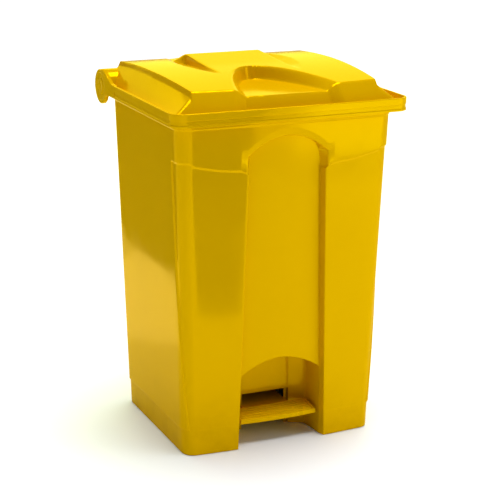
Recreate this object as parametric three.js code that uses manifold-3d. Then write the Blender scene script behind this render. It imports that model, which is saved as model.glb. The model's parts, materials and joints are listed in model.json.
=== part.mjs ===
// Step-on waste bin: moulded container, domed lid on a rear hinge rod, ribbed foot pedal,
// and the lever and lift rod that raise the lid when the pedal is pressed.
// Millimetres. +X right, -Y front, +Z up, origin on the floor under the middle of the bin.
import * as THREE from "three";
import { mergeVertices } from "three/addons/utils/BufferGeometryUtils.js";
import Module from "manifold-3d";

const wasm = await Module();
wasm.setup();

// Container wall, as a straight taper from the floor to the lower edge of the lid.
const RIM_Z = 558.7;
const BASE = { halfWidth: 172.2, front: -143.6, rear: 140.5, bow: 8.3 };
const TOP = { halfWidth: 188, front: -161.5, rear: 155.7, bow: 2 };
const CORNER_RADIUS = 23;
const WALL = 5; // side, front and rear walls
const SKIN = 4; // wall round the channels and the niche
const SOLE_Z = 1;
const PLINTH_Z = 44.7;
const PLINTH_INSET = 2;
const FLOOR_LOW = 66;
const FLOOR_HIGH = 70;
const CONTAINER_TOP = 572.5;
const THROUGH = 260; // far enough to pass the whole bin

// Rim flange, collar bead and the shoulder band over the front columns.
const RIM = { halfWidth: 198, front: -181, rear: 157, low: 563 };
const COLLAR = { low: 549, high: 558.2, proud: 1.2 };
const BAND_CORNER_Z = 496;
const BAND_INNER_Z = 478;
const COLUMN_INSET = 2.2;
const COLUMN_EDGE = { lowY: -141, highY: -125 };
const BAND_CURVE = { inner: 90, flat: 130, rising: 150, drop: 4 };

// Front channel with an arched head, and the foot niche at its lower end.
const CHANNEL = { baseHalf: 78.5, topHalf: 66, shoulderZ: 499, apexZ: 530, panelY: -136, lean: -0.02 };
const NICHE = { half: 75, draft: 3, sideY: -91, backHalf: 47, backY: -74, bow: 8 };
const NICHE_ARCH = { shoulderZ: 119, apexZ: 149.5 };

// Lid: rim skirt, cambered dome, hand recess, raised rear wedge and hinge barrel.
const LID_SHELL = 3.5;
const LID = { halfWidth: 205, front: -187.4, bow: 2, radius: 23, low: 558.7, flange: 577.2 };
const DOME = { footHalf: 187.7, topHalf: 163, rearTopHalf: 153, footFront: -170, topFront: -146 };
const DOME_REAR = { top: 157, foot: 178 };
const CAMBER = { peakZ: 616.3, peakY: 22, curve: 3.4e-4, edgeZ: 613.3 };
const RECESS = { floorZ: 594.6, frontHalf: 71, frontY: -156, apexY: -5, flare: 0.0189, rake: 0.7 };
const WEDGE = { half: 66, frontY: -62, frontZ: 609, crestY: 112, crestZ: 623.8, rearY: 142, rearZ: 607 };
const HINGE = { y: 159.9, z: 568.5, rodRadius: 4, rodHalf: 201.7, discX: 198.8 };
const BARREL = { outer: 29.5, inner: 26 };
const HINGE_CAP = { radius: 14, backX: 202.3, seatRadius: 14.3, seatX: 202 };
const BARREL_LIP_ANGLE = -20;
const REAR_EDGE = { z: 556, half: 180, y: 149 };
const LUG = { x: [-140, -60, 60, 140], half: 6, rootY: 151, lowZ: 545, radius: 9 };
const LID_RIB = { x: [-110, -32, 32, 110], half: 3, radius: 7.5 };
const LID_BOSS = { radius: 5, low: 587.3, high: 596, holeTop: 594 };
const LID_OPEN = 75;

// Lift rod, its crank on the lid and its guides in the rear channel.
const REAR_SLOPE = (TOP.rear - BASE.rear) / RIM_Z;
const REAR_CHANNEL = { half: 22, depth: 34, sideHalf: 34 };
const CRANK = { pinAt: 28, slotFrom: 20.6, slotTo: 28.6, slotGap: 1.4, arm: 7.5, hub: 9, screwX: 20 };
const CRANK_PLATE = { half: 27, deep: 8, low: 583, high: 587 };
const FORK = { inner: 7, outer: 11 }; // the two cheeks that straddle the lift rod
const CRANK_PIN = crankPoint(CRANK.pinAt);
const ROD_LOW_Z = 15;
const ROD_RADIUS = 3.5;
const ROD_EYE = { radius: 6.5, half: 5.5 };
const PIN = { radius: 3, head: 5, headFrom: 11.5, headTo: 13.5, tail: -13.4 };
const PIN_CLIP = { from: -12.6, to: -11.5 };
const RUNNING_GAP = 0.1;
const GUIDE = { z: [170, 430], half: 21.6, back: 0.3, proud: 23, halfTall: 7, gap: 0.4, screwX: 14 };
const COVER = { low: 60, high: 528, gap: 0.3, thick: 2.5, screwX: 28, screwZ: [80, 508] };
const SCREW = { head: 3.5, headTall: 2.2, shank: 1.6, hole: 1.9, clear: 2.1 };

// Pedal.
const PIVOT = { y: -16, z: 32, axleRadius: 4, axleHalf: 54 };
const TREAD = { half: 69, front: -137, rear: -94, low: 38, plate: 45.3, top: 50.8, wall: 3, screwX: 30 };
const TREAD_RIB = { count: 7, half: 1.4, proud: 1.2 };
const LEVER = { half: 42, thick: 4, plateLow: 41, plateHigh: 45, frontY: -133, rearY: 2, hub: 10 };
const LEVER_STRAP = { frontY: -40, frontZ: 34, lowZ: 24, radius: 8, slotTravel: 1.5, slotGap: 0.4 };
const BUSH = { radius: 6, flange: 8.5, long: 6 };
const BRACKET = { inner: 46.5, outer: 49.5, cheek: 9, foot: 12 };
const BRACKET_FOOT = { outer: 69, low: 56.7, high: 59.7 };
const BRACKET_SCREW = { x: 60, offset: 8 };
const CLIP = { radius: 8, inner: 49.9, outer: 51.3 };
const FOOT_PAD = { radius: 10, tall: 3, x: 152, frontY: -122, rearY: 119 };
const PAD_SOCKET = { radius: 10.3, top: 3.3, blockTop: 14 };

const PLASTIC = { color: 0xe9c400, roughness: 0.28, metalness: 0 };
const STEEL = { color: 0xb9bcc0, roughness: 0.35, metalness: 1 };
const NYLON = { color: 0x26272a, roughness: 0.5, metalness: 0 };
const RUBBER = { color: 0x2a2a2a, roughness: 0.9, metalness: 0 };

const bin = new THREE.Group();

// ---------------------------------------------------------------- geometry helpers

function crankPoint(radius) {
  const angle = THREE.MathUtils.degToRad(180 + LID_OPEN / 2);
  return { y: HINGE.y + radius * Math.cos(angle), z: HINGE.z + radius * Math.sin(angle) };
}

// The lift rod leans with the rear wall: its y where it passes a height.
function rodY(z) {
  return CRANK_PIN.y + (z - CRANK_PIN.z) * REAR_SLOPE;
}

// The rear wall's outer face at a height.
function rearY(z) {
  return BASE.rear + z * REAR_SLOPE;
}

// The two ends of a span on one side of the middle, lower first.
function span(side, inner, outer) {
  return [side * inner, side * outer].sort((a, b) => a - b);
}

function solid(geometry) {
  const bare = geometry.clone();
  bare.deleteAttribute("normal");
  bare.deleteAttribute("uv");
  const merged = mergeVertices(bare, 1e-4);
  const triVerts = new Uint32Array(merged.index.array);
  const vertProperties = merged.attributes.position.array;
  return new wasm.Manifold(new wasm.Mesh({ numProp: 3, vertProperties, triVerts }));
}

function add(node, body, finish) {
  const mesh = body.getMesh();
  const geometry = new THREE.BufferGeometry();
  geometry.setAttribute("position", new THREE.BufferAttribute(mesh.vertProperties, 3));
  geometry.setIndex(new THREE.BufferAttribute(mesh.triVerts, 1));
  geometry.computeVertexNormals();
  const piece = new THREE.Mesh(geometry, new THREE.MeshStandardMaterial(finish));
  piece.name = node;
  bin.add(piece);
}

function join(...bodies) {
  return bodies.reduce((whole, body) => whole.add(body));
}

function cut(body, ...tools) {
  return tools.reduce((whole, tool) => whole.subtract(tool), body);
}

function extrude(shape, low, high, curveSegments = 4) {
  const depth = high - low;
  const geometry = new THREE.ExtrudeGeometry(shape, { depth, curveSegments, bevelEnabled: false });
  return geometry.translate(0, 0, low);
}

// A shape drawn in Y and Z, run along X.
function alongX(shape, low, high, curveSegments = 4) {
  const [x, y, z] = [0, 1, 2].map((axis) => new THREE.Vector3().setComponent(axis, 1));
  const turn = new THREE.Matrix4().makeBasis(y, z, x);
  return extrude(shape, low, high, curveSegments).applyMatrix4(turn);
}

// A shape drawn in X and Z, run along Y.
function alongY(shape, low, high, curveSegments = 4) {
  const [x, z] = [0, 2].map((axis) => new THREE.Vector3().setComponent(axis, 1));
  const turn = new THREE.Matrix4().makeBasis(x, z, new THREE.Vector3(0, -1, 0));
  return extrude(shape, -high, -low, curveSegments).applyMatrix4(turn);
}

function polygon(points) {
  return new THREE.Shape(points.map(([u, v]) => new THREE.Vector2(u, v)));
}

function disc(u, v, radius) {
  return new THREE.Shape().absarc(u, v, radius, 0, 2 * Math.PI);
}

// A bar with round ends between two points.
function capsule([u1, v1], [u2, v2], radius) {
  const angle = Math.atan2(v2 - v1, u2 - u1);
  const quarter = Math.PI / 2;
  const shape = new THREE.Shape();
  shape.absarc(u2, v2, radius, angle - quarter, angle + quarter);
  shape.absarc(u1, v1, radius, angle + quarter, angle + 3 * quarter);
  return shape;
}

function box(x0, x1, y0, y1, z0, z1) {
  const geometry = new THREE.BoxGeometry(x1 - x0, y1 - y0, z1 - z0);
  return geometry.translate((x0 + x1) / 2, (y0 + y1) / 2, (z0 + z1) / 2);
}

function rodAlongX(radius, x0, x1, y, z, curveSegments = 10) {
  return alongX(disc(y, z, radius), x0, x1, curveSegments);
}

function rodAlongZ(radius, x, y, z0, z1, curveSegments = 6) {
  return extrude(disc(x, y, radius), z0, z1, curveSegments);
}

function rodAlongY(radius, x, z, y0, y1, curveSegments = 6) {
  return alongY(disc(x, z, radius), y0, y1, curveSegments);
}

// Moves every vertex of a geometry by a rule.
function warp(geometry, rule) {
  const position = geometry.attributes.position;
  const point = new THREE.Vector3();
  for (let i = 0; i < position.count; i += 1) {
    point.fromBufferAttribute(position, i);
    rule(point);
    position.setXYZ(i, point.x, point.y, point.z);
  }
  return geometry;
}

// Leans a geometry back with the rear wall.
function leanBack(geometry) {
  return warp(geometry, (point) => {
    point.y += point.z * REAR_SLOPE;
  });
}

// Rounded rectangle whose front edge bulges forward.
function outline({ halfWidth, front, rear, bow }, frontRadius, rearRadius) {
  const shape = new THREE.Shape();
  const straight = halfWidth - frontRadius;
  const back = halfWidth - rearRadius;
  const quarter = Math.PI / 2;
  shape.moveTo(-straight, front);
  shape.quadraticCurveTo(0, front - 2 * bow, straight, front);
  shape.absarc(straight, front + frontRadius, frontRadius, -quarter, 0);
  shape.absarc(back, rear - rearRadius, rearRadius, 0, quarter);
  shape.absarc(-back, rear - rearRadius, rearRadius, quarter, 2 * quarter);
  shape.absarc(-straight, front + frontRadius, frontRadius, 2 * quarter, 3 * quarter);
  return shape;
}

// The container's tapered hull, moved inward by an inset, between two heights.
function hull(inset, low, high, curveSegments = 3) {
  const top = { ...TOP, halfWidth: TOP.halfWidth - inset, front: TOP.front + inset, rear: TOP.rear - inset };
  const radius = CORNER_RADIUS - inset;
  const geometry = extrude(outline(top, radius, radius), low, high, curveSegments);
  return warp(geometry, (point) => {
    const share = point.z / RIM_Z;
    const mix = (key) => THREE.MathUtils.lerp(BASE[key], TOP[key], share);
    const across = point.x / top.halfWidth;
    const along = (point.y - top.front) / (top.rear - top.front);
    const front = mix("front") + inset;
    const rear = mix("rear") - inset;
    const bulge = (mix("bow") - TOP.bow) * (1 - across * across) * (1 - along);
    point.x = across * (mix("halfWidth") - inset);
    point.y = front + along * (rear - front) - bulge;
  });
}

// ---------------------------------------------------------------- container

// Channel cutter, grown outward by a wall thickness for the cavity.
function frontChannel(grow) {
  const shape = new THREE.Shape();
  const base = CHANNEL.baseHalf + grow;
  const top = CHANNEL.topHalf + grow;
  const apexControl = 2 * (CHANNEL.apexZ + grow) - CHANNEL.shoulderZ;
  shape.moveTo(-base, -grow - 1);
  shape.lineTo(base, -grow - 1);
  shape.lineTo(top, CHANNEL.shoulderZ);
  shape.quadraticCurveTo(0, apexControl, -top, CHANNEL.shoulderZ);
  const geometry = alongY(shape, -THROUGH, CHANNEL.panelY + grow, 6);
  return warp(geometry, (point) => {
    point.y += point.z * CHANNEL.lean;
  });
}

// Foot niche cutter: its plan run upward, under an arch run backward.
function niche(grow) {
  const plan = new THREE.Shape();
  const front = NICHE.half + grow;
  const side = front - NICHE.draft;
  const back = NICHE.backY + grow;
  plan.moveTo(-front, -THROUGH);
  plan.lineTo(front, -THROUGH);
  plan.lineTo(side, NICHE.sideY);
  plan.quadraticCurveTo(side - 1, back - NICHE.bow, NICHE.backHalf, back);
  plan.lineTo(-NICHE.backHalf, back);
  plan.quadraticCurveTo(1 - side, back - NICHE.bow, -side, NICHE.sideY);
  const arch = new THREE.Shape();
  const wide = front + NICHE.draft;
  const apexControl = 2 * (NICHE_ARCH.apexZ + grow) - NICHE_ARCH.shoulderZ;
  arch.moveTo(-wide, -2);
  arch.lineTo(wide, -2);
  arch.lineTo(wide, NICHE_ARCH.shoulderZ);
  arch.quadraticCurveTo(0, apexControl, -wide, NICHE_ARCH.shoulderZ);
  return solid(extrude(plan, -2, 200, 4)).intersect(solid(alongY(arch, -THROUGH, back + 1, 8)));
}

function rearChannel(half, depth, low, high) {
  const geometry = box(-half, half, BASE.rear - depth, BASE.rear + 40, low, high);
  return solid(leanBack(geometry));
}

// Material taken off the front columns under the shoulder band.
function columnStep() {
  const { inner, flat, rising, drop } = BAND_CURVE;
  const corner = TOP.halfWidth - 10;
  const bent = BAND_CORNER_Z - drop;
  const band = new THREE.Shape();
  band.moveTo(-THROUGH, 0);
  band.lineTo(THROUGH, 0);
  band.lineTo(THROUGH, BAND_CORNER_Z);
  band.lineTo(corner, BAND_CORNER_Z);
  band.bezierCurveTo(rising, bent, flat, BAND_INNER_Z, inner, BAND_INNER_Z);
  band.lineTo(-inner, BAND_INNER_Z);
  band.bezierCurveTo(-flat, BAND_INNER_Z, -rising, bent, -corner, BAND_CORNER_Z);
  band.lineTo(-THROUGH, BAND_CORNER_Z);
  const front = polygon([
    [-THROUGH, PLINTH_Z],
    [COLUMN_EDGE.lowY, PLINTH_Z],
    [COLUMN_EDGE.highY, BAND_CORNER_Z],
    [-THROUGH, BAND_CORNER_Z],
  ]);
  const above = BAND_CORNER_Z + 20;
  const skin = cut(
    solid(hull(-2, PLINTH_Z, above)),
    solid(hull(COLUMN_INSET, PLINTH_Z - 1, above + 1)),
  );
  return skin
    .intersect(solid(alongY(band, -THROUGH, 0, 6)))
    .intersect(solid(alongX(front, -THROUGH, THROUGH)));
}

function hingeLug(x) {
  const shape = new THREE.Shape();
  shape.moveTo(LUG.rootY, REAR_EDGE.z);
  shape.lineTo(LUG.rootY, LUG.lowZ);
  shape.absarc(HINGE.y, HINGE.z, LUG.radius, -Math.PI / 3, (5 / 6) * Math.PI);
  return solid(alongX(shape, x - LUG.half, x + LUG.half, 6));
}

function container() {
  const rim = outline({ ...RIM, bow: LID.bow }, CORNER_RADIUS, CORNER_RADIUS);
  let body = join(
    solid(hull(0, PLINTH_Z, CONTAINER_TOP)),
    solid(hull(PLINTH_INSET, SOLE_Z, PLINTH_Z + 1)),
    solid(hull(-COLLAR.proud, COLLAR.low, COLLAR.high)),
    solid(extrude(rim, RIM.low, CONTAINER_TOP, 3)),
  );
  const over = CONTAINER_TOP + 20;
  const upperCavity = cut(
    solid(hull(WALL, FLOOR_HIGH, over)),
    solid(frontChannel(SKIN)),
    niche(SKIN),
    rearChannel(REAR_CHANNEL.sideHalf, REAR_CHANNEL.depth + SKIN, 0, over),
  );
  const lowerCavity = cut(
    solid(hull(WALL + PLINTH_INSET, SOLE_Z - 1, FLOOR_LOW)),
    solid(frontChannel(SKIN)),
    niche(SKIN),
  );
  const slotHalf = NICHE.backHalf - 1;
  body = cut(
    body,
    columnStep(),
    solid(frontChannel(0)),
    niche(0),
    rearChannel(REAR_CHANNEL.half, REAR_CHANNEL.depth, -5, over),
    upperCavity,
    lowerCavity,
    solid(box(-REAR_EDGE.half, REAR_EDGE.half, REAR_EDGE.y, THROUGH, REAR_EDGE.z, over)),
    solid(box(-slotHalf, slotHalf, NICHE.backY - SKIN, NICHE.backY + 2 * SKIN, 0, FLOOR_LOW)),
  );
  for (const pad of footPads()) {
    const block = box(...padReach(pad.x), ...padReach(pad.y), SOLE_Z, PAD_SOCKET.blockTop);
    const socket = rodAlongZ(PAD_SOCKET.radius, pad.x, pad.y, 0, PAD_SOCKET.top, 8);
    body = body.add(solid(block)).subtract(solid(socket));
  }
  for (const side of [-1, 1]) {
    const across = span(side, BRACKET.outer, BRACKET_FOOT.outer + 1);
    const deep = BRACKET.foot + 2;
    const seat = BRACKET_FOOT.high + 0.3;
    body = body.add(solid(box(...across, PIVOT.y - deep, PIVOT.y + deep, seat, FLOOR_LOW + 1)));
  }
  for (const x of LUG.x) body = body.add(hingeLug(x));
  for (const { x, y } of bracketScrews()) {
    body = body.subtract(solid(rodAlongZ(SCREW.hole, x, y, BRACKET_FOOT.low, FLOOR_LOW + 1.5)));
  }
  for (const { x, z } of guideScrews()) {
    const wallY = rearY(z) - REAR_CHANNEL.depth;
    body = body.subtract(solid(rodAlongY(SCREW.hole, x, z, wallY - SKIN + 0.4, wallY + SKIN)));
  }
  for (const { x, z } of coverScrews()) {
    body = body.subtract(solid(rodAlongY(SCREW.hole, x, z, rearY(z) - 12, rearY(z) + 20)));
  }
  return body.subtract(hingeRodHole());
}

function hingeRodHole() {
  return solid(rodAlongX(HINGE.rodRadius + RUNNING_GAP, -THROUGH, THROUGH, HINGE.y, HINGE.z));
}

// The block over a foot pad runs from inside the pad's edge to the wall next to it.
function padReach(centre) {
  const outward = Math.sign(centre);
  return [centre - 13 * outward, centre + 15.5 * outward].sort((a, b) => a - b);
}

function footPads() {
  const { x, frontY, rearY: backY } = FOOT_PAD;
  return [
    { name: "front_left", x: -x, y: frontY },
    { name: "front_right", x, y: frontY },
    { name: "rear_left", x: -x, y: backY },
    { name: "rear_right", x, y: backY },
  ];
}

// ---------------------------------------------------------------- lid

// The dome, moved inward by an inset: a cambered side profile between two sloping sides.
function domeBody(inset) {
  const foot = LID.flange - inset;
  const root = foot - 4;
  const profile = [
    [DOME.footFront + inset, root],
    [DOME.footFront + inset, foot],
  ];
  const steps = 8;
  for (let i = 0; i <= steps; i += 1) {
    const y = THREE.MathUtils.lerp(DOME.topFront + inset, DOME_REAR.top - inset, i / steps);
    profile.push([y, CAMBER.peakZ - CAMBER.curve * (y - CAMBER.peakY) ** 2 - inset]);
  }
  profile.push([DOME_REAR.foot - inset, foot], [DOME_REAR.foot - inset, root]);
  const highest = CAMBER.peakZ + 4;
  const slope = (DOME.footHalf - DOME.topHalf) / (CAMBER.edgeZ - LID.flange);
  const topHalf = DOME.footHalf - slope * (highest - LID.flange) - inset;
  const footHalf = DOME.footHalf - inset;
  const sides = polygon([
    [-footHalf, LID.low],
    [footHalf, LID.low],
    [footHalf, LID.flange],
    [topHalf, highest],
    [-topHalf, highest],
    [-footHalf, LID.flange],
  ]);
  const narrowing = (DOME.topHalf - DOME.rearTopHalf) / (DOME_REAR.top - DOME.topFront);
  const walls = warp(alongY(sides, -THROUGH, THROUGH), (point) => {
    const back = point.y - DOME.topFront;
    const up = (point.z - LID.flange) / (highest - LID.flange);
    point.x -= Math.sign(point.x) * back * narrowing * Math.max(up, 0);
  });
  return solid(alongX(polygon(profile.reverse()), -THROUGH, THROUGH)).intersect(solid(walls));
}

// Hand recess cutter: a parabola in plan whose walls flare out and lean back.
function handRecess(grow) {
  const half = RECESS.frontHalf + grow;
  const shape = new THREE.Shape();
  const control = 2 * (RECESS.apexY + grow) - RECESS.frontY;
  shape.moveTo(-half, -THROUGH);
  shape.lineTo(half, -THROUGH);
  shape.lineTo(half, RECESS.frontY);
  shape.quadraticCurveTo(0, control, -half, RECESS.frontY);
  const floor = RECESS.floorZ - grow;
  return warp(extrude(shape, floor, WEDGE.crestZ + 16, 10), (point) => {
    const rise = Math.max(point.z - RECESS.floorZ, 0);
    point.x *= 1 + rise * RECESS.flare;
    point.y += rise * RECESS.rake;
  });
}

function rearWedge(inset) {
  const profile = polygon([
    [WEDGE.frontY, LID.flange],
    [WEDGE.rearY - inset, LID.flange],
    [WEDGE.rearY - inset, WEDGE.rearZ - inset],
    [WEDGE.crestY, WEDGE.crestZ - inset],
    [WEDGE.frontY, WEDGE.frontZ - inset],
  ]);
  return solid(alongX(profile, -WEDGE.half + inset, WEDGE.half - inset));
}

function lidRib(x) {
  const shape = new THREE.Shape();
  const high = THREE.MathUtils.degToRad(130);
  const low = THREE.MathUtils.degToRad(BARREL_LIP_ANGLE + 3);
  shape.absarc(HINGE.y, HINGE.z, LID_RIB.radius, 0.8 * Math.PI, 1.8 * Math.PI);
  shape.absarc(HINGE.y, HINGE.z, BARREL.inner + 1, low, high);
  return solid(alongX(shape, x - LID_RIB.half, x + LID_RIB.half, 6));
}

function lid() {
  const skirt = { ...LID, rear: HINGE.y };
  const inner = { ...skirt, halfWidth: LID.halfWidth - LID_SHELL, front: LID.front + LID_SHELL, rear: 125 };
  const barrel = rodAlongX(BARREL.outer, -LID.halfWidth, LID.halfWidth, HINGE.y, HINGE.z, 14);
  const outer = join(
    solid(extrude(outline(skirt, LID.radius, 1), LID.low, LID.flange, 4)),
    domeBody(0),
    rearWedge(0),
    solid(barrel),
  ).subtract(solid(handRecess(0)));
  const ceiling = LID.flange - LID_SHELL;
  const discX = HINGE.discX;
  const hollow = join(
    solid(extrude(outline(inner, LID.radius - LID_SHELL, 1), LID.low - 10, ceiling, 4)),
    solid(box(-discX, discX, inner.rear - 5, HINGE.y, LID.low - 30, ceiling)),
    domeBody(LID_SHELL).intersect(solid(box(-THROUGH, THROUGH, -THROUGH, 150, LID.low, THROUGH * 3))),
    rearWedge(LID_SHELL),
    solid(rodAlongX(BARREL.inner, -discX, discX, HINGE.y, HINGE.z, 14)),
    solid(alongX(barrelOpening(), -discX, discX)),
  ).subtract(solid(handRecess(LID_SHELL)));
  let body = outer.subtract(hollow);
  for (const x of LID_RIB.x) body = body.add(lidRib(x));
  for (const { x, y } of crankScrews()) {
    body = body.add(solid(rodAlongZ(LID_BOSS.radius, x, y, LID_BOSS.low, LID_BOSS.high)));
    body = body.subtract(solid(rodAlongZ(SCREW.hole, x, y, CRANK_PLATE.low, LID_BOSS.holeTop)));
  }
  body = body.subtract(hingeRodHole());
  for (const side of [-1, 1]) {
    const seat = span(side, HINGE_CAP.seatX, LID.halfWidth + 5);
    body = body.subtract(solid(rodAlongX(HINGE_CAP.seatRadius, ...seat, HINGE.y, HINGE.z, 12)));
  }
  return body;
}

// Side view of what is open under the barrel, so the container's lugs and the rod reach in.
function barrelOpening() {
  const lip = THREE.MathUtils.degToRad(BARREL_LIP_ANGLE);
  const reach = 50;
  const floor = HINGE.z - reach;
  return polygon([
    [HINGE.y, HINGE.z],
    [HINGE.y - reach, HINGE.z],
    [HINGE.y - reach, floor],
    [HINGE.y + reach, floor],
    [HINGE.y + reach * Math.cos(lip), HINGE.z + reach * Math.sin(lip)],
  ]);
}

// ---------------------------------------------------------------- hinge, crank and lift rod

// Plate screwed under the lid, with two cheeks whose slots carry the lift rod's upper pin.
function lidCrank() {
  const { half, deep, low, high } = CRANK_PLATE;
  const near = crankPoint(CRANK.slotFrom);
  const tip = crankPoint(CRANK.slotTo);
  const arm = capsule([HINGE.y, HINGE.z], [tip.y, tip.z], CRANK.arm);
  const slot = capsule([near.y, near.z], [tip.y, tip.z], PIN.radius + CRANK.slotGap);
  let body = solid(box(-half, half, HINGE.y - deep, HINGE.y + deep, low, high));
  for (const side of [-1, 1]) {
    const cheek = span(side, FORK.inner, FORK.outer);
    body = join(
      body,
      solid(box(...cheek, HINGE.y - deep, HINGE.y + deep, HINGE.z, low + 1)),
      solid(alongX(disc(HINGE.y, HINGE.z, CRANK.hub), ...cheek, 8)),
      solid(alongX(arm, ...cheek, 6)),
    );
  }
  body = cut(body, solid(alongX(slot, -half, half, 6)), hingeRodHole());
  for (const { x, y } of crankScrews()) {
    body = body.subtract(solid(rodAlongZ(SCREW.clear, x, y, low - 1, high + 1)));
  }
  return body;
}

function liftRod() {
  const low = new THREE.Vector3(0, rodY(ROD_LOW_Z), ROD_LOW_Z);
  const high = new THREE.Vector3(0, CRANK_PIN.y, CRANK_PIN.z);
  const direction = high.clone().sub(low);
  const long = direction.length() - 8;
  const bar = new THREE.CylinderGeometry(ROD_RADIUS, ROD_RADIUS, long, 20);
  bar.applyQuaternion(new THREE.Quaternion().setFromUnitVectors(
    new THREE.Vector3(0, 1, 0),
    direction.clone().normalize(),
  ));
  bar.translate(0, (low.y + high.y) / 2, (low.z + high.z) / 2);
  const { radius, half } = ROD_EYE;
  let body = solid(bar);
  for (const end of [low, high]) {
    body = body.add(solid(rodAlongX(radius, -half, half, end.y, end.z, 8)));
  }
  for (const end of [low, high]) {
    body = body.subtract(solid(rodAlongX(PIN.radius + RUNNING_GAP, -9, 9, end.y, end.z)));
  }
  return body;
}

// Headed cross pin and the push-on clip at its other end.
function crossPin(node, y, z) {
  const shank = rodAlongX(PIN.radius, PIN.tail, PIN.headFrom + 0.1, y, z);
  const head = rodAlongX(PIN.head, PIN.headFrom, PIN.headTo, y, z, 8);
  add(node, solid(shank).add(solid(head)), STEEL);
  const ring = solid(rodAlongX(PIN.head, PIN_CLIP.from, PIN_CLIP.to, y, z, 8));
  const bore = solid(rodAlongX(PIN.radius + RUNNING_GAP, PIN.tail, 0, y, z));
  add(`${node}_clip`, ring.subtract(bore), STEEL);
}

function rodGuide(z) {
  const { half, back, proud, halfTall, gap, screwX } = GUIDE;
  const bottom = BASE.rear - REAR_CHANNEL.depth;
  const block = box(-half, half, bottom + back, bottom + proud, z - halfTall, z + halfTall);
  const hole = extrude(disc(0, rodY(0), ROD_RADIUS + gap), z - 20, z + 20, 10);
  let body = solid(leanBack(block)).subtract(solid(leanBack(hole)));
  for (const x of [-screwX, screwX]) {
    body = body.subtract(solid(rodAlongY(SCREW.clear, x, z, 0, THROUGH)));
  }
  return body;
}

// Pan-head screw. The head sits at the start, the shank runs in the given direction.
function screw(node, x, y, z, length, direction) {
  const head = new THREE.CylinderGeometry(SCREW.head, SCREW.head, SCREW.headTall, 14);
  head.translate(0, -SCREW.headTall / 2, 0);
  const shank = new THREE.CylinderGeometry(SCREW.shank, SCREW.shank, length, 12);
  shank.translate(0, length / 2 - 0.1, 0);
  const turn = new THREE.Quaternion().setFromUnitVectors(new THREE.Vector3(0, 1, 0), direction);
  const place = (geometry) => solid(geometry.applyQuaternion(turn).translate(x, y, z));
  add(node, place(head).add(place(shank)), STEEL);
}

function crankScrews() {
  return [-CRANK.screwX, CRANK.screwX].map((x) => ({ x, y: HINGE.y }));
}

function guideScrews() {
  return GUIDE.z.flatMap((z) => [-GUIDE.screwX, GUIDE.screwX].map((x) => ({ x, z })));
}

function coverScrews() {
  return COVER.screwZ.flatMap((z) => [-COVER.screwX, COVER.screwX].map((x) => ({ x, z })));
}

function bracketScrews() {
  const { x: far, offset } = BRACKET_SCREW;
  return [-far, far].flatMap((x) => [-offset, offset].map((shift) => ({ x, y: PIVOT.y + shift })));
}

function rodCover() {
  const { low, high, gap, thick } = COVER;
  const half = REAR_CHANNEL.sideHalf;
  const inner = BASE.rear + gap;
  let body = solid(leanBack(box(-half, half, inner, inner + thick, low, high)));
  for (const { x, z } of coverScrews()) {
    body = body.subtract(solid(rodAlongY(SCREW.clear, x, z, 0, THROUGH)));
  }
  return body;
}

// ---------------------------------------------------------------- pedal

function pedalTread() {
  const { half, front, rear, low, plate, top, wall } = TREAD;
  const inside = half - wall;
  let body = solid(box(-half, half, front, rear, low, top));
  body = body.subtract(solid(box(-inside, inside, front + wall, rear + 1, low - 1, plate)));
  const pitch = (rear - front) / TREAD_RIB.count;
  for (let i = 0; i < TREAD_RIB.count; i += 1) {
    const y = front + pitch * (i + 0.5);
    const ribTop = top + TREAD_RIB.proud;
    const rib = box(-inside, inside, y - TREAD_RIB.half, y + TREAD_RIB.half, top - 0.5, ribTop);
    body = body.add(solid(rib));
  }
  for (const { x, y } of treadScrews()) {
    body = body.subtract(solid(rodAlongZ(SCREW.hole, x, y, low, top - 1)));
  }
  return body;
}

function treadScrews() {
  const y = (TREAD.front + TREAD.rear) / 2;
  return [-TREAD.screwX, TREAD.screwX].map((x) => ({ x, y }));
}

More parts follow.
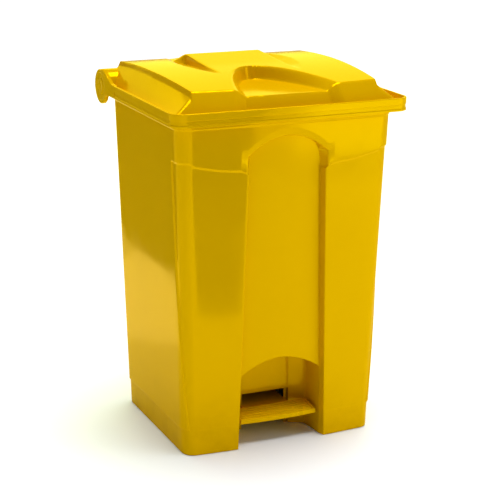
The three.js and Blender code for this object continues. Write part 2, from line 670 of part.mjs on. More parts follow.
// Pressed plate with side flanges on the axle and two straps back to the lift rod's lower pin.
function pedalLever() {
  const { half, thick, plateLow, plateHigh, frontY, rearY: backY, hub } = LEVER;
  const pinEnd = [rodY(ROD_LOW_Z), ROD_LOW_Z];
  const reach = Math.hypot(pinEnd[0] - PIVOT.y, pinEnd[1] - PIVOT.z);
  const unit = [(pinEnd[0] - PIVOT.y) / reach, (pinEnd[1] - PIVOT.z) / reach];
  const along = (distance) => [PIVOT.y + unit[0] * distance, PIVOT.z + unit[1] * distance];
  let body = solid(box(-half, half, frontY, backY, plateLow, plateHigh));
  const flange = new THREE.Shape();
  flange.moveTo(frontY, plateHigh);
  flange.lineTo(frontY, plateHigh - 2 * thick);
  flange.lineTo(PIVOT.y - 30, PIVOT.z - 2);
  flange.absarc(PIVOT.y, PIVOT.z, hub, -Math.PI / 2, 0);
  flange.lineTo(backY, plateHigh);
  const strap = new THREE.Shape();
  strap.moveTo(LEVER_STRAP.frontY, plateHigh - 1);
  strap.lineTo(LEVER_STRAP.frontY, LEVER_STRAP.frontZ);
  strap.lineTo(PIVOT.y, LEVER_STRAP.lowZ);
  strap.absarc(...pinEnd, LEVER_STRAP.radius, -Math.PI / 2, Math.PI / 2);
  strap.lineTo(PIVOT.y + 16, plateHigh - 1);
  for (const side of [-1, 1]) {
    body = join(
      body,
      solid(alongX(flange, ...span(side, half - thick, half), 6)),
      solid(alongX(strap, ...span(side, FORK.inner, FORK.outer), 6)),
    );
  }
  const { slotTravel, slotGap } = LEVER_STRAP;
  const slot = capsule(along(reach - slotTravel), along(reach + slotTravel), PIN.radius + slotGap);
  const bushHole = (side) => rodAlongX(
    BUSH.radius + RUNNING_GAP,
    ...span(side, half - thick - 1, half + 1),
    PIVOT.y,
    PIVOT.z,
  );
  body = cut(
    body,
    solid(alongX(slot, -20, 20, 6)),
    solid(bushHole(-1)),
    solid(bushHole(1)),
    solid(rodAlongX(PIVOT.axleRadius + 0.5, -20, 20, PIVOT.y, PIVOT.z)),
  );
  for (const { x, y } of treadScrews()) {
    body = body.subtract(solid(rodAlongZ(SCREW.clear, x, y, plateLow - 1, plateHigh + 1)));
  }
  return body;
}

function axleHole() {
  return solid(rodAlongX(PIVOT.axleRadius + RUNNING_GAP, -THROUGH, THROUGH, PIVOT.y, PIVOT.z));
}

function axleBush(side) {
  const sleeve = span(side, LEVER.half - BUSH.long, LEVER.half + 0.4);
  const flange = span(side, LEVER.half + 0.3, BRACKET.inner - 0.3);
  const body = join(
    solid(rodAlongX(BUSH.radius, ...sleeve, PIVOT.y, PIVOT.z)),
    solid(rodAlongX(BUSH.flange, ...flange, PIVOT.y, PIVOT.z, 8)),
  );
  return body.subtract(axleHole());
}

// Angle bracket: a foot screwed up into the container's floor and a cheek that holds the axle.
function axleBracket(side) {
  const { inner, outer, cheek, foot } = BRACKET;
  const { outer: footOuter, low: footLow, high: footHigh } = BRACKET_FOOT;
  const shape = new THREE.Shape();
  shape.moveTo(PIVOT.y + foot, footHigh);
  shape.lineTo(PIVOT.y - foot, footHigh);
  shape.lineTo(PIVOT.y - cheek, PIVOT.z);
  shape.absarc(PIVOT.y, PIVOT.z, cheek, Math.PI, 2 * Math.PI);
  const across = span(side, inner, footOuter);
  let body = join(
    solid(alongX(shape, ...span(side, inner, outer), 6)),
    solid(box(...across, PIVOT.y - foot, PIVOT.y + foot, footLow, footHigh)),
  );
  body = body.subtract(axleHole());
  for (const { x, y } of bracketScrews()) {
    body = body.subtract(solid(rodAlongZ(SCREW.clear, x, y, footLow - 1, footHigh + 1)));
  }
  return body;
}

function axleClip(side) {
  const ring = rodAlongX(CLIP.radius, ...span(side, CLIP.inner, CLIP.outer), PIVOT.y, PIVOT.z, 8);
  return solid(ring).subtract(axleHole());
}

// ---------------------------------------------------------------- assembly

const UP = new THREE.Vector3(0, 0, 1);
const FORWARD = new THREE.Vector3(0, -1, 0);
const HEAD_GAP = 0.3; // a screw's head sits this far off the face under it

add("container", container(), PLASTIC);
add("lid", lid(), PLASTIC);
add("hinge_rod", solid(rodAlongX(HINGE.rodRadius, -HINGE.rodHalf, HINGE.rodHalf, HINGE.y, HINGE.z)), STEEL);
add("lid_crank", lidCrank(), STEEL);
crankScrews().forEach(({ x, y }, i) => {
  screw(`crank_screw_${i + 1}`, x, y, CRANK_PLATE.low - HEAD_GAP, 10.5, UP);
});
add("lift_rod", liftRod(), STEEL);
crossPin("crank_pin", CRANK_PIN.y, CRANK_PIN.z);
crossPin("lever_pin", rodY(ROD_LOW_Z), ROD_LOW_Z);
GUIDE.z.forEach((z, i) => add(["rod_guide_lower", "rod_guide_upper"][i], rodGuide(z), NYLON));
guideScrews().forEach(({ x, z }, i) => {
  const headY = rearY(z) - REAR_CHANNEL.depth + GUIDE.proud + 0.8;
  screw(`guide_screw_${i + 1}`, x, headY, z, 26.5, FORWARD);
});
add("rod_cover", rodCover(), PLASTIC);
coverScrews().forEach(({ x, z }, i) => {
  const headY = rearY(z) + COVER.gap + COVER.thick + 0.4;
  screw(`cover_screw_${i + 1}`, x, headY, z, 13, FORWARD);
});
add("pedal_tread", pedalTread(), PLASTIC);
add("pedal_lever", pedalLever(), STEEL);
treadScrews().forEach(({ x, y }, i) => {
  screw(`tread_screw_${i + 1}`, x, y, LEVER.plateLow - HEAD_GAP, 7.5, UP);
});
const { axleRadius, axleHalf } = PIVOT;
add("pedal_axle", solid(rodAlongX(axleRadius, -axleHalf, axleHalf, PIVOT.y, PIVOT.z)), STEEL);
bracketScrews().forEach(({ x, y }, i) => {
  screw(`bracket_screw_${i + 1}`, x, y, BRACKET_FOOT.low - HEAD_GAP, 10.3, UP);
});
for (const [name, side] of [["left", -1], ["right", 1]]) {
  const cap = span(side, HINGE_CAP.backX, LID.halfWidth);
  add(`hinge_cap_${name}`, solid(rodAlongX(HINGE_CAP.radius, ...cap, HINGE.y, HINGE.z, 12)), PLASTIC);
  add(`axle_bush_${name}`, axleBush(side), NYLON);
  add(`axle_bracket_${name}`, axleBracket(side), STEEL);
  add(`axle_clip_${name}`, axleClip(side), STEEL);
}
for (const { name, x, y } of footPads()) {
  add(`foot_pad_${name}`, solid(rodAlongZ(FOOT_PAD.radius, x, y, 0, FOOT_PAD.tall, 8)), RUBBER);
}

export default bin;
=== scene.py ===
"""Step-on waste bin: moulded container, lid, pedal and the linkage between them, on a studio floor."""

import json
import math

import bmesh
import bpy
import numpy as np
from mathutils import Matrix, Vector


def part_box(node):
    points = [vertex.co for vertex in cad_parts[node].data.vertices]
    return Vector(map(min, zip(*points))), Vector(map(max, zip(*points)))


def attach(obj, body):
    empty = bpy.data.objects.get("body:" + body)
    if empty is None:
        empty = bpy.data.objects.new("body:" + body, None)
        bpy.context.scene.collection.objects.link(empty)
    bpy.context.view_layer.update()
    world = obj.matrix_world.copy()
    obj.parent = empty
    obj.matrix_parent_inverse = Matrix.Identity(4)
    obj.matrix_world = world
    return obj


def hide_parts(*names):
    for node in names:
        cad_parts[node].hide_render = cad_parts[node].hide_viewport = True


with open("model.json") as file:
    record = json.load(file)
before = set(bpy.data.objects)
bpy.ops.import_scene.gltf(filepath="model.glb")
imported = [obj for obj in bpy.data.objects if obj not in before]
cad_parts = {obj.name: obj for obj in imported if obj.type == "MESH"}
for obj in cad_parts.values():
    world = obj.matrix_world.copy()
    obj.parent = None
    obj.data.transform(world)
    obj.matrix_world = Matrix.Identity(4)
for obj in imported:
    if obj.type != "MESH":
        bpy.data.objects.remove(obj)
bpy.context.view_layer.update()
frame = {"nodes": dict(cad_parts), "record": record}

MM = 0.001

# Container wall, in millimetres like every size below.
RIM_Z = 558.7
BASE_HALF, TOP_HALF = 172.2, 188.0
BASE_FRONT, TOP_FRONT = -143.6, -161.5
BASE_REAR, TOP_REAR = 140.5, 155.7
BASE_BOW, TOP_BOW = 8.3, 2.0
CORNER = 23.0
STRAIGHT = TOP_HALF - CORNER
WALL, SKIN = 5.0, 4.0
SOLE_Z, FLOOR_LOW, FLOOR_HIGH, TOP_Z = 1.0, 66.0, 70.0, 568.0
PLINTH_Z, PLINTH_INSET, PLINTH_ROUND = 44.7, 2.0, 0.9
COLLAR_Z, COLLAR_PROUD = 545.5, 1.2
RIM_HALF, RIM_FRONT, RIM_REAR = 198.0, -181.0, 157.0
REAR_EDGE_Z, REAR_EDGE_HALF, REAR_EDGE_Y = 556.0, 180.0, 140.0

# Front channel, its arch and the shoulder band.
BAND_INSET = 2.2
BAND_CORNER_Z, BAND_INNER_Z = 496.0, 478.0
BAND_LEVEL_X, BAND_END_X, BAND_CURVE = 85.0, TOP_HALF - 6.0, 1.5
BAND_DIP_X, BAND_DIP_RUN, BAND_DIP = 66.0, 17.0, 7.0
CREASE_LOW_Y, CREASE_HIGH_Y = -141.0, -125.0
CHANNEL_BASE, CHANNEL_TAPER, CHANNEL_STEP = 78.4, 0.0243, 3.3
CHANNEL_STEP_LOW, CHANNEL_STEP_HIGH = 469.5, 473.5
SHOULDER_LOW, SHOULDER_HIGH, SHOULDER_NARROW = 474.0, 510.0, 4.5
ARCH_APEX, ARCH_RISE, ARCH_HALF = 530.0, 31.0, 70.0
ARCH_TAIL_RISE, ARCH_TAIL_RUN, ARCH_EDGE = 9.0, 30.0, 0.8
PANEL_ARCH_HALF, PANEL_ARCH_RISE, PANEL_ARCH_DROP = 59.5, 26.0, 4.0
PANEL_ARCH_POWER, PANEL_ARCH_ROOT = 2.6, 0.556
PANEL_Y, PANEL_LEAN, PANEL_TOP_ROWS = -136.0, -0.02, (0.0, 0.06, 0.35, 0.7, 1.0)
WALL_DRAFT = 3.0
EDGE_ROUND = 1.8
CHAMFER_WIDTH, CHAMFER_DEPTH = 12.0, 1.3
CHAMFER_START_Z, CHAMFER_FULL_Z = 482.0, 496.0
LIP_STEPS = (0.25, 0.7, 1.2, EDGE_ROUND, 4.0, 8.0, 11.4, CHAMFER_WIDTH)
LIP_END, ARCH_LIP_END = 12.7, 12.8

# Foot niche.
NICHE_SIDE, NICHE_SIDE_Y = 72.0, -91.0
NICHE_BACK_HALF, NICHE_BACK_Y = 47.0, -74.0
NICHE_APEX, NICHE_RISE, NICHE_LINTEL = 149.5, 26.0, 2.0
SLOT_HALF, SLOT_ROW = 46.0, 10

# Rear channel for the lift rod.
NOTCH_HALF, NOTCH_DEPTH, NOTCH_INNER_HALF, NOTCH_ROUND = 22.0, 34.0, 34.0, 1.5

# Bosses inside the container: hinge lugs, bracket seats and the sockets of the feet.
LUG_X, LUG_HALF, LUG_RADIUS = (-140, -60, 60, 140), 6, 9.0
BRACKET_X, BRACKET_HALF, BRACKET_Y = (-60, 60), 9, (-29, -3)
FOOT_X, FOOT_Y, FOOT_RADIUS = (-152, 152), (-122, 119), 15.0

# Lid: outline, lip and gutter.
LID_HALF, LID_FRONT, LID_REAR, LID_BOW, LID_LOW = 205.0, -187.4, 167.0, 2.0, 558.7
LIP_Z, GUTTER_Z, LIP_WIDTH, LIP_ROUND = 580.5, 571.5, 4.4, 1.5
SHELL, SHELL_MOST = 3.5, 6.0
LID_UNDER_MIN = 568.5
# Dome: a cambered top over a steep band and a slope at the sides, and bevels in front and behind.
CAMBER_TOP, CAMBER_RATE, CAMBER_Y = 616.3, 3.4e-4, 22.0
DOME_FOOT_Z, DOME_FOOT_HALF = 577.0, 187.7
TOP_EDGE_Y, TOP_EDGE_X = (-146.0, -72.0, 0.0, 157.0), (160.5, 165.0, 168.0, 169.5)
SIDE_BAND_DROP, SIDE_BAND_RUN = 8.5, 1.8
FRONT_EDGE_Y, FRONT_EDGE_BOW, FRONT_EDGE_HALF = -146.0, 8.0, 163.0
FRONT_FOOT_Y, FRONT_FOOT_BOW = -160.0, 11.5
REAR_FOOT_Y, REAR_SLOPE = 178.0, 1.6
# Hump with a hollow on each side of it, and the hand recess in front of it.
HUMP_HALF, HUMP_START_Y, HUMP_START_Z = 69.5, -50.0, 612.0
CREST_Y, CREST_Z, CREST_FALL, HUMP_REAR_Y = 112.0, 623.8, 13.0 / 30.0, 165.0
HUMP_EDGE_DROP, HUMP_FLARE = 0.8, 20.0
SCOOP_Y = (-60.0, -49.0, -35.0, -6.0, 38.0, 65.0, 108.0, 163.0)
SCOOP_X = (67.0, 73.5, 81.0, 92.5, 101.0, 102.5, 97.0, 84.0)
SCOOP_DEPTH, SCOOP_CREASE_Y = 8.0, (-45.0, -11.0, 52.0, 95.0, 165.0)
SCOOP_CREASE = (0.5, 0.42, 0.38, 0.5, 0.7)
RECESS_Z, RECESS_SET_BACK, RECESS_SLOPE = 594.6, 7.5, 2.0
# Hinge: barrel, ears and caps.
HINGE_Y, HINGE_Z = 159.9, 568.5
BARREL, BARREL_INNER, BARREL_END = 29.5, 26.0, 167.0
EAR_INNER_X, EAR_FACE_X, EAR_START_Y = 198.8, 202.0, 88.0
CAP_RADIUS = 14.0


# ---- number helpers


def lerp(a, b, share):
    return a + (b - a) * share


def ramp(value, low, high):
    share = np.clip((value - low) / (high - low), 0, 1)
    return share * share * (3 - 2 * share)


def soft_min(a, b, blend):
    overlap = np.clip(blend - np.abs(a - b), 0, None)
    return np.minimum(a, b) - overlap * overlap / (4 * blend)


def soft_max(a, b, blend):
    return -soft_min(-a, -b, blend)


# ---- mesh helpers


class Body:
    """Collects sheets and solids in millimetres and turns them into one object."""

    def __init__(self):
        self.points = []
        self.faces = []

    def add(self, points, faces):
        start = len(self.points)
        self.points.extend(tuple(p) for p in points)
        self.faces.extend(tuple(start + i for i in face) for face in faces)
        return start

    def sheet(self, grid, closed=False, keep=None, flip=False):
        """A grid of points, rows by columns, as quads. keep says which quads stay."""
        rows, columns = grid.shape[:2]
        start = self.add(grid.reshape(-1, 3), [])
        last = columns if closed else columns - 1
        for r in range(rows - 1):
            for c in range(last):
                if keep is not None and not keep[r, c]:
                    continue
                d = (c + 1) % columns
                quad = (r * columns + c, r * columns + d, (r + 1) * columns + d, (r + 1) * columns + c)
                self.faces.append(tuple(start + i for i in (quad[::-1] if flip else quad)))

    def strip(self, first, second, closed=False, flip=False):
        self.sheet(np.stack([first, second]), closed, None, flip)

    def cap(self, loop, flip=False):
        start = self.add(loop, [])
        face = tuple(range(start, start + len(loop)))
        self.faces.append(face[::-1] if flip else face)

    def build(self, name, body, material, sharp=38.0, tidy_normals=False, weld=0.004):
        mesh = bpy.data.meshes.new(name)
        work = bmesh.new()
        verts = [work.verts.new(Vector(p) * MM) for p in self.points]
        for face in self.faces:
            if len(set(face)) > 2:
                try:
                    work.faces.new([verts[i] for i in face])
                except ValueError:
                    pass
        bmesh.ops.remove_doubles(work, verts=work.verts, dist=weld * MM)
        bmesh.ops.dissolve_degenerate(work, edges=work.edges, dist=weld * MM)
        loose = [v for v in work.verts if not v.link_faces]
        bmesh.ops.delete(work, geom=loose, context="VERTS")
        if tidy_normals:
            bmesh.ops.recalc_face_normals(work, faces=work.faces)
        work.to_mesh(mesh)
        work.free()
        for polygon in mesh.polygons:
            polygon.use_smooth = True
        mesh.set_sharp_from_angle(angle=math.radians(sharp))
        piece = bpy.data.objects.new(name, mesh)
        bpy.context.scene.collection.objects.link(piece)
        mesh.materials.append(material)
        weighted = piece.modifiers.new("weighted", "WEIGHTED_NORMAL")
        weighted.keep_sharp = True
        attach(piece, body)
        return piece


def prism(outline, low, high, axis, bevel=0.0):
    """An outline drawn in the two other axes, run along an axis, as points and faces."""
    work = bmesh.new()
    order = {"x": (2, 0, 1), "y": (0, 2, 1), "z": (0, 1, 2)}[axis]
    loops = []
    for level in (low, high):
        loop = []
        for u, v in outline:
            triple = (u, v, level)
            loop.append(work.verts.new([triple[i] for i in order]))
        loops.append(loop)
    count = len(outline)
    work.faces.new(loops[0][::-1])
    work.faces.new(loops[1])
    for i in range(count):
        j = (i + 1) % count
        work.faces.new((loops[0][i], loops[0][j], loops[1][j], loops[1][i]))
    bmesh.ops.recalc_face_normals(work, faces=work.faces)
    if bevel:
        sharp = [e for e in work.edges if e.calc_face_angle(0) > math.radians(30)]
        bmesh.ops.bevel(work, geom=sharp, offset=bevel, segments=2, profile=0.5, affect="EDGES")
    work.verts.index_update()
    points = [tuple(v.co) for v in work.verts]
    faces = [[v.index for v in f.verts] for f in work.faces]
    work.free()
    return points, faces


def lathe(profile, centre, axis, steps=32):
    """A profile of (radius, height) pairs turned round an axis through a centre."""
    angles = np.linspace(0, 2 * math.pi, steps, endpoint=False)
    grid = np.zeros((len(profile), steps, 3))
    u, v, w = {"x": (1, 2, 0), "y": (2, 0, 1), "z": (0, 1, 2)}[axis]
    for row, (radius, height) in enumerate(profile):
        grid[row, :, u] = centre[u] + radius * np.cos(angles)
        grid[row, :, v] = centre[v] + radius * np.sin(angles)
        grid[row, :, w] = centre[w] + height
    return grid


def arc(u, v, radius, start, stop, steps):
    angles = np.radians(np.linspace(start, stop, steps + 1))
    return [(u + radius * math.cos(a), v + radius * math.sin(a)) for a in angles]


def rectangle(u0, u1, v0, v1):
    return [(u0, v0), (u1, v0), (u1, v1), (u0, v1)]


# ---- container


def hull_point(x_top, y_top, z, inset):
    """Where the tapered hull puts a point of its top outline at height z."""
    share = z / RIM_Z
    front = lerp(BASE_FRONT, TOP_FRONT, share) + inset
    rear = lerp(BASE_REAR, TOP_REAR, share) - inset
    across = x_top / (TOP_HALF - inset)
    along = (y_top - TOP_FRONT - inset) / (TOP_REAR - TOP_FRONT - 2 * inset)
    bulge = (lerp(BASE_BOW, TOP_BOW, share) - TOP_BOW) * (1 - across**2) * (1 - along)
    x = across * (lerp(BASE_HALF, TOP_HALF, share) - inset)
    return x, front + along * (rear - front) - bulge


def half_width(z, inset=0.0):
    return lerp(BASE_HALF, TOP_HALF, z / RIM_Z) - inset


def front_y(x, z, inset):
    x_top = x / half_width(z, inset) * (TOP_HALF - inset)
    y_top = TOP_FRONT + inset - TOP_BOW * (1 - (x_top / STRAIGHT) ** 2)
    return hull_point(x_top, y_top, z, inset)[1]


def side_point(s, z, inset, offset):
    """Round the front corner, the side and the rear corner, at outline distance s."""
    radius = CORNER - inset
    first = math.pi / 2 * radius
    length = TOP_REAR - TOP_FRONT - 2 * CORNER
    if s < first:
        angle = s / radius
        x_top = STRAIGHT + radius * math.sin(angle)
        y_top = TOP_FRONT + CORNER - radius * math.cos(angle)
        normal = (math.sin(angle), -math.cos(angle))
    elif s < first + length:
        x_top = TOP_HALF - inset
        y_top = TOP_FRONT + CORNER + s - first
        normal = (1.0, 0.0)
    else:
        angle = (s - first - length) / radius
        x_top = STRAIGHT + radius * math.cos(angle)
        y_top = TOP_REAR - CORNER + radius * math.sin(angle)
        normal = (math.cos(angle), math.sin(angle))
    x, y = hull_point(x_top, y_top, z, inset)
    return x - offset * normal[0], y - offset * normal[1], normal


def crease_distance(z):
    """Outline distance at which the recessed front columns end on the side wall."""
    z = min(max(z, PLINTH_Z), BAND_CORNER_Z)
    y = lerp(CREASE_LOW_Y, CREASE_HIGH_Y, (z - PLINTH_Z) / (BAND_CORNER_Z - PLINTH_Z))
    front, rear = lerp(BASE_FRONT, TOP_FRONT, z / RIM_Z), lerp(BASE_REAR, TOP_REAR, z / RIM_Z)
    back = (y - front) / (rear - front) * (TOP_REAR - TOP_FRONT)
    if back < CORNER:
        return CORNER * math.acos(1 - back / CORNER)
    return CORNER * (math.pi / 2 - 1) + back


def niche_arch(x, grow):
    reach = NICHE_SIDE + grow
    return NICHE_APEX + grow - NICHE_RISE * min(abs(x) / reach, 1.0) ** 2


def band_edge(x, _=0.0):
    """Lower edge of the shoulder band: it dips beside the channel and climbs to the corner."""
    x = abs(x)
    if x < BAND_LEVEL_X:
        dip = (BAND_LEVEL_X - max(x, BAND_DIP_X)) / BAND_DIP_RUN
        return BAND_INNER_Z - BAND_DIP * dip**BAND_CURVE
    share = min((x - BAND_LEVEL_X) / (BAND_END_X - BAND_LEVEL_X), 1.0)
    return BAND_INNER_Z + (BAND_CORNER_Z - BAND_INNER_Z) * share**BAND_CURVE


def channel_half(z, grow):
    step = CHANNEL_STEP * float(ramp(z, CHANNEL_STEP_LOW, CHANNEL_STEP_HIGH))
    return CHANNEL_BASE - CHANNEL_TAPER * z + step + grow


def panel_half(z, grow):
    shoulder = min(max((z - SHOULDER_LOW) / (SHOULDER_HIGH - SHOULDER_LOW), 0.0), 1.0)
    return CHANNEL_BASE - CHANNEL_TAPER * z - WALL_DRAFT - SHOULDER_NARROW * shoulder + grow


def arch_outer(x, grow):
    reach = ARCH_HALF + grow
    x = abs(x)
    if x <= reach:
        return ARCH_APEX + grow - ARCH_RISE * (x / reach) ** 2
    return ARCH_APEX + grow - ARCH_RISE + ARCH_TAIL_RISE * float(ramp(x, reach, reach + ARCH_TAIL_RUN))


def arch_inner(x, grow):
    x = abs(x)
    inner, outer = PANEL_ARCH_HALF + grow, ARCH_HALF + grow
    foot = ARCH_APEX + grow - PANEL_ARCH_DROP - PANEL_ARCH_RISE
    if x <= inner:
        return foot + PANEL_ARCH_RISE * (1 - (x / inner) ** PANEL_ARCH_POWER) ** PANEL_ARCH_ROOT
    if x < outer:
        return lerp(foot, arch_outer(outer, grow) - ARCH_EDGE, (x - inner) / (outer - inner))
    return arch_outer(x, grow) - ARCH_EDGE


def outline_depth(distance, chamfer):
    """Depth of the rounded and chamfered lip outside the channel opening."""
    rounding = 0.0
    if distance < EDGE_ROUND:
        rounding = EDGE_ROUND * (1 - math.sqrt(max(1 - (1 - distance / EDGE_ROUND) ** 2, 0.0)))
    return rounding + chamfer * CHAMFER_DEPTH * max(1 - distance / CHAMFER_WIDTH, 0.0)


def bezier(first, middle, last, t):
    return (1 - t) ** 2 * first + 2 * t * (1 - t) * middle + t * t * last


def front_columns():
    """Column recipes from the middle of the front to the start of the corner."""
    shares = (0.0, 0.13, 0.26, 0.39, 0.52, SLOT_HALF / NICHE_SIDE, NICHE_BACK_HALF / NICHE_SIDE)
    columns = [("floor", share, NICHE_BACK_Y) for share in shares]
    for t in (0.15, 0.3, 0.45, 0.6, 0.75, 0.9):
        x = bezier(NICHE_BACK_HALF, NICHE_SIDE - 1, NICHE_SIDE, t)
        y = bezier(NICHE_BACK_Y, NICHE_BACK_Y - 8, NICHE_SIDE_Y, t)
        columns.append(("floor", x / NICHE_SIDE, y))
    columns += [("side", share, None) for share in (0.0, 0.33, 0.66, 0.95, 1.0)]
    columns += [("wall", share, None) for share in (0.05, 0.3, 0.6, 0.9, 1.0)]
    columns += [("lip", distance, None) for distance in (*LIP_STEPS, LIP_END)]
    columns += [("face", float(share), None) for share in np.linspace(0, 1, 14)[1:]]
    return columns


PLINTH_ROWS = (SOLE_Z, 1.7, 3.2, 24.0, 42.8, 43.9, 44.7, 45.5, 46.6, 56.0, FLOOR_LOW)
NICHE_EDGE = ((-3.0, 1.0), (-0.9, 1.0), (-0.7, 0.94), (-0.4, 0.5), (-0.1, 0.05), (0.0, 0.012))
BAND_EDGE = ((-5.0, 1.0), (-2.6, 1.0), (-1.5, 0.94), (-0.5, 0.68), (0.5, 0.32), (1.5, 0.06), (2.6, 0.0))


def outer_rows():
    """Row recipes: a height rule, the niche share, the arch share and the distance over the arch."""
    rows = []

    def level(z):
        return lambda x, g: z

    def shifted(rule, shift):
        return lambda x, g: rule(x, g) + shift

    def between(first, second, share, shift=0.0, **more):
        rows.append(dict(rule=lambda x, g: lerp(first(x, g), second(x, g), share) + shift, **more))

    for z in PLINTH_ROWS:
        rows.append(dict(rule=level(z), niche=1.0))
    for share in (0.25, 0.5, 0.75):
        between(level(FLOOR_LOW), niche_arch, share, niche=1.0)
    for shift, share in NICHE_EDGE:
        between(niche_arch, niche_arch, 0, shift, niche=share)
    between(niche_arch, niche_arch, 0, 0.7)
    between(niche_arch, niche_arch, 0, NICHE_LINTEL)
    for share in np.linspace(0, 1, 14)[1:-1]:
        between(shifted(niche_arch, NICHE_LINTEL), shifted(band_edge, BAND_EDGE[0][0]), float(share))
    for shift, share in BAND_EDGE:
        between(band_edge, band_edge, 0, shift, band=share)
    for share in (0.3, 0.6):
        between(band_edge, arch_inner, share, band=0.0)
    for shift in (-4.0, -1.0):
        between(arch_inner, arch_inner, 0, shift, band=0.0)
    for share in PANEL_TOP_ROWS:
        between(arch_inner, arch_outer, share, arch=share, band=0.0)
    for distance in (*LIP_STEPS, ARCH_LIP_END):
        between(arch_outer, arch_outer, 0, distance, over=distance, band=0.0)
    between(shifted(arch_outer, ARCH_LIP_END), level(COLLAR_Z), 0.5, over=20.0, band=0.0)
    return rows


# Height and share of the collar's step, then height and share of the flange under the lid.
COLLAR_ROWS = ((COLLAR_Z, 0), (547.6, 0), (548.8, 0.15), (549.6, 0.7), (550.6, 1), (556.4, 1))
COLLAR_ROWS += ((557.5, 0.7), (558.3, 0.15), (559.5, 0.0), (561.5, 0.0))
FLANGE_ROWS = ((562.9, 0.0), (563.0, 0.06), (563.1, 0.95), (563.7, 1.0), (566.9, 1.0))
FLANGE_ROWS += ((567.7, 0.98), (TOP_Z, 0.92))


def top_rows():
    """Flat rows from under the collar to the rim: height, inset and share of the rim flange."""
    rows = [dict(z=z, inset=-COLLAR_PROUD * share, flange=0.0) for z, share in COLLAR_ROWS]
    return rows + [dict(z=z, inset=0.0, flange=share) for z, share in FLANGE_ROWS]


def row_height(row, x, grow):
    return row["rule"](x, grow) if "rule" in row else row["z"]


def wall_offset(row, z, plain, reach=1.0):
    """How far a row stands behind the hull: band, plinth and collar. plain keeps only the inset."""
    if plain:
        return row.get("inset", 0.0)
    above = float(ramp(z, PLINTH_Z - PLINTH_ROUND, PLINTH_Z + PLINTH_ROUND))
    band = row.get("band", 1.0 if "rule" in row else 0.0) * reach
    return BAND_INSET * band * above + PLINTH_INSET * (1 - above) + row.get("inset", 0.0)


def column_x(column, z, grow):
    kind, share = column[:2]
    panel = panel_half(z, grow)
    side = min(NICHE_SIDE + grow, panel - 0.5)
    if kind == "floor":
        return share * side
    if kind == "side":
        return lerp(side, panel, share)
    opening = channel_half(z, grow)
    if kind == "wall":
        return lerp(panel, opening, share)
    if kind == "lip":
        return opening + share
    return lerp(opening + LIP_END, half_width(z) * STRAIGHT / TOP_HALF, share)


def front_point(column, row, grow, inset, plain):
    """A point of the front wall. plain leaves out the band and the plinth for the inside."""
    kind, share, niche_y = column
    z = row_height(row, 100.0, grow)
    for _ in range(4):
        x = column_x(column, z, grow)
        z = row_height(row, x, grow)
    face = front_y(x, z, inset) + wall_offset(row, z, plain)
    if "rule" not in row:
        return x, lerp(face, flange_front(x, z), row["flange"]), z
    panel = PANEL_Y + grow + PANEL_LEAN * z
    depth = panel - face
    chamfer = 0.0 if plain else 1.0
    side_chamfer = chamfer * float(ramp(z, CHAMFER_START_Z, CHAMFER_FULL_Z))
    over = row.get("over")
    beside = {"lip": share, "face": 99.0}.get(kind, 0.0)
    if over is not None or beside > 0:
        distance = math.hypot(over or 0.0, beside)
        flare = chamfer if over is not None else side_chamfer
        return x, face + outline_depth(distance, flare), z
    edge = EDGE_ROUND + side_chamfer * CHAMFER_DEPTH
    from_side = depth if kind != "wall" else lerp(depth, edge, share)
    from_arch = lerp(depth, EDGE_ROUND + chamfer * CHAMFER_DEPTH, row.get("arch", 0.0))
    y = face + min(from_side, from_arch)
    niche = row.get("niche", 0.0)
    if niche and kind in ("floor", "side"):
        back = niche_y + grow if kind == "floor" else lerp(NICHE_SIDE_Y + grow, panel, share)
        y = lerp(panel, back, niche)
    return x, y, z


def flange_front(x, z):
    x_rim = x / (half_width(z) * STRAIGHT / TOP_HALF) * (RIM_HALF - CORNER)
    return RIM_FRONT - LID_BOW * (1 - (x_rim / (RIM_HALF - CORNER)) ** 2)


def side_distances(z, inset):
    """Outline distances of the side columns, close together at the crease and the rear edge."""
    radius = CORNER - inset
    crease = crease_distance(z)
    first = math.pi / 2 * radius
    rear = first + TOP_REAR - TOP_FRONT - 2 * CORNER
    front = list(np.linspace(0, crease - 1.6, 12)[1:]) + [crease - 0.6, crease + 0.6, crease + 1.6]
    middle = list(np.linspace(crease + 1.6, 80, 8)[1:]) + list(np.linspace(80, rear, 10)[1:])
    before = math.acos((REAR_EDGE_HALF + 0.3 - STRAIGHT) / radius)
    after = math.acos((REAR_EDGE_HALF - 0.3 - STRAIGHT) / radius)
    corner = list(np.linspace(0, before, 5)[1:]) + list(np.linspace(after, math.pi / 2, 6))
    return front + middle + [rear + radius * angle for angle in corner]


SIDE_BAND = [1.0] * 11 + [0.85, 0.15] + [0.0] * 40


def side_points(row, grow, inset, plain):
    z = row_height(row, 190.0, grow)
    flange = row.get("flange", 0.0)
    points = []
    for s, reach in zip(side_distances(z, inset), SIDE_BAND):
        x, y, normal = side_point(s, z, inset, wall_offset(row, z, plain, reach))
        at_rear_edge = x < REAR_EDGE_HALF and y > REAR_EDGE_Y
        if flange and not at_rear_edge:
            x_rim = x + (RIM_HALF - TOP_HALF) * max(normal[0], 0)
            forward = (TOP_FRONT - RIM_FRONT) * max(-normal[1], 0)
            forward -= (RIM_REAR - TOP_REAR) * max(normal[1], 0)
            x, y = lerp(x, x_rim, flange), lerp(y, y - forward, flange)
            at_rear_edge = x < REAR_EDGE_HALF and y > REAR_EDGE_Y
        points.append((x, y, min(z, REAR_EDGE_Z) if at_rear_edge else z))
    return points


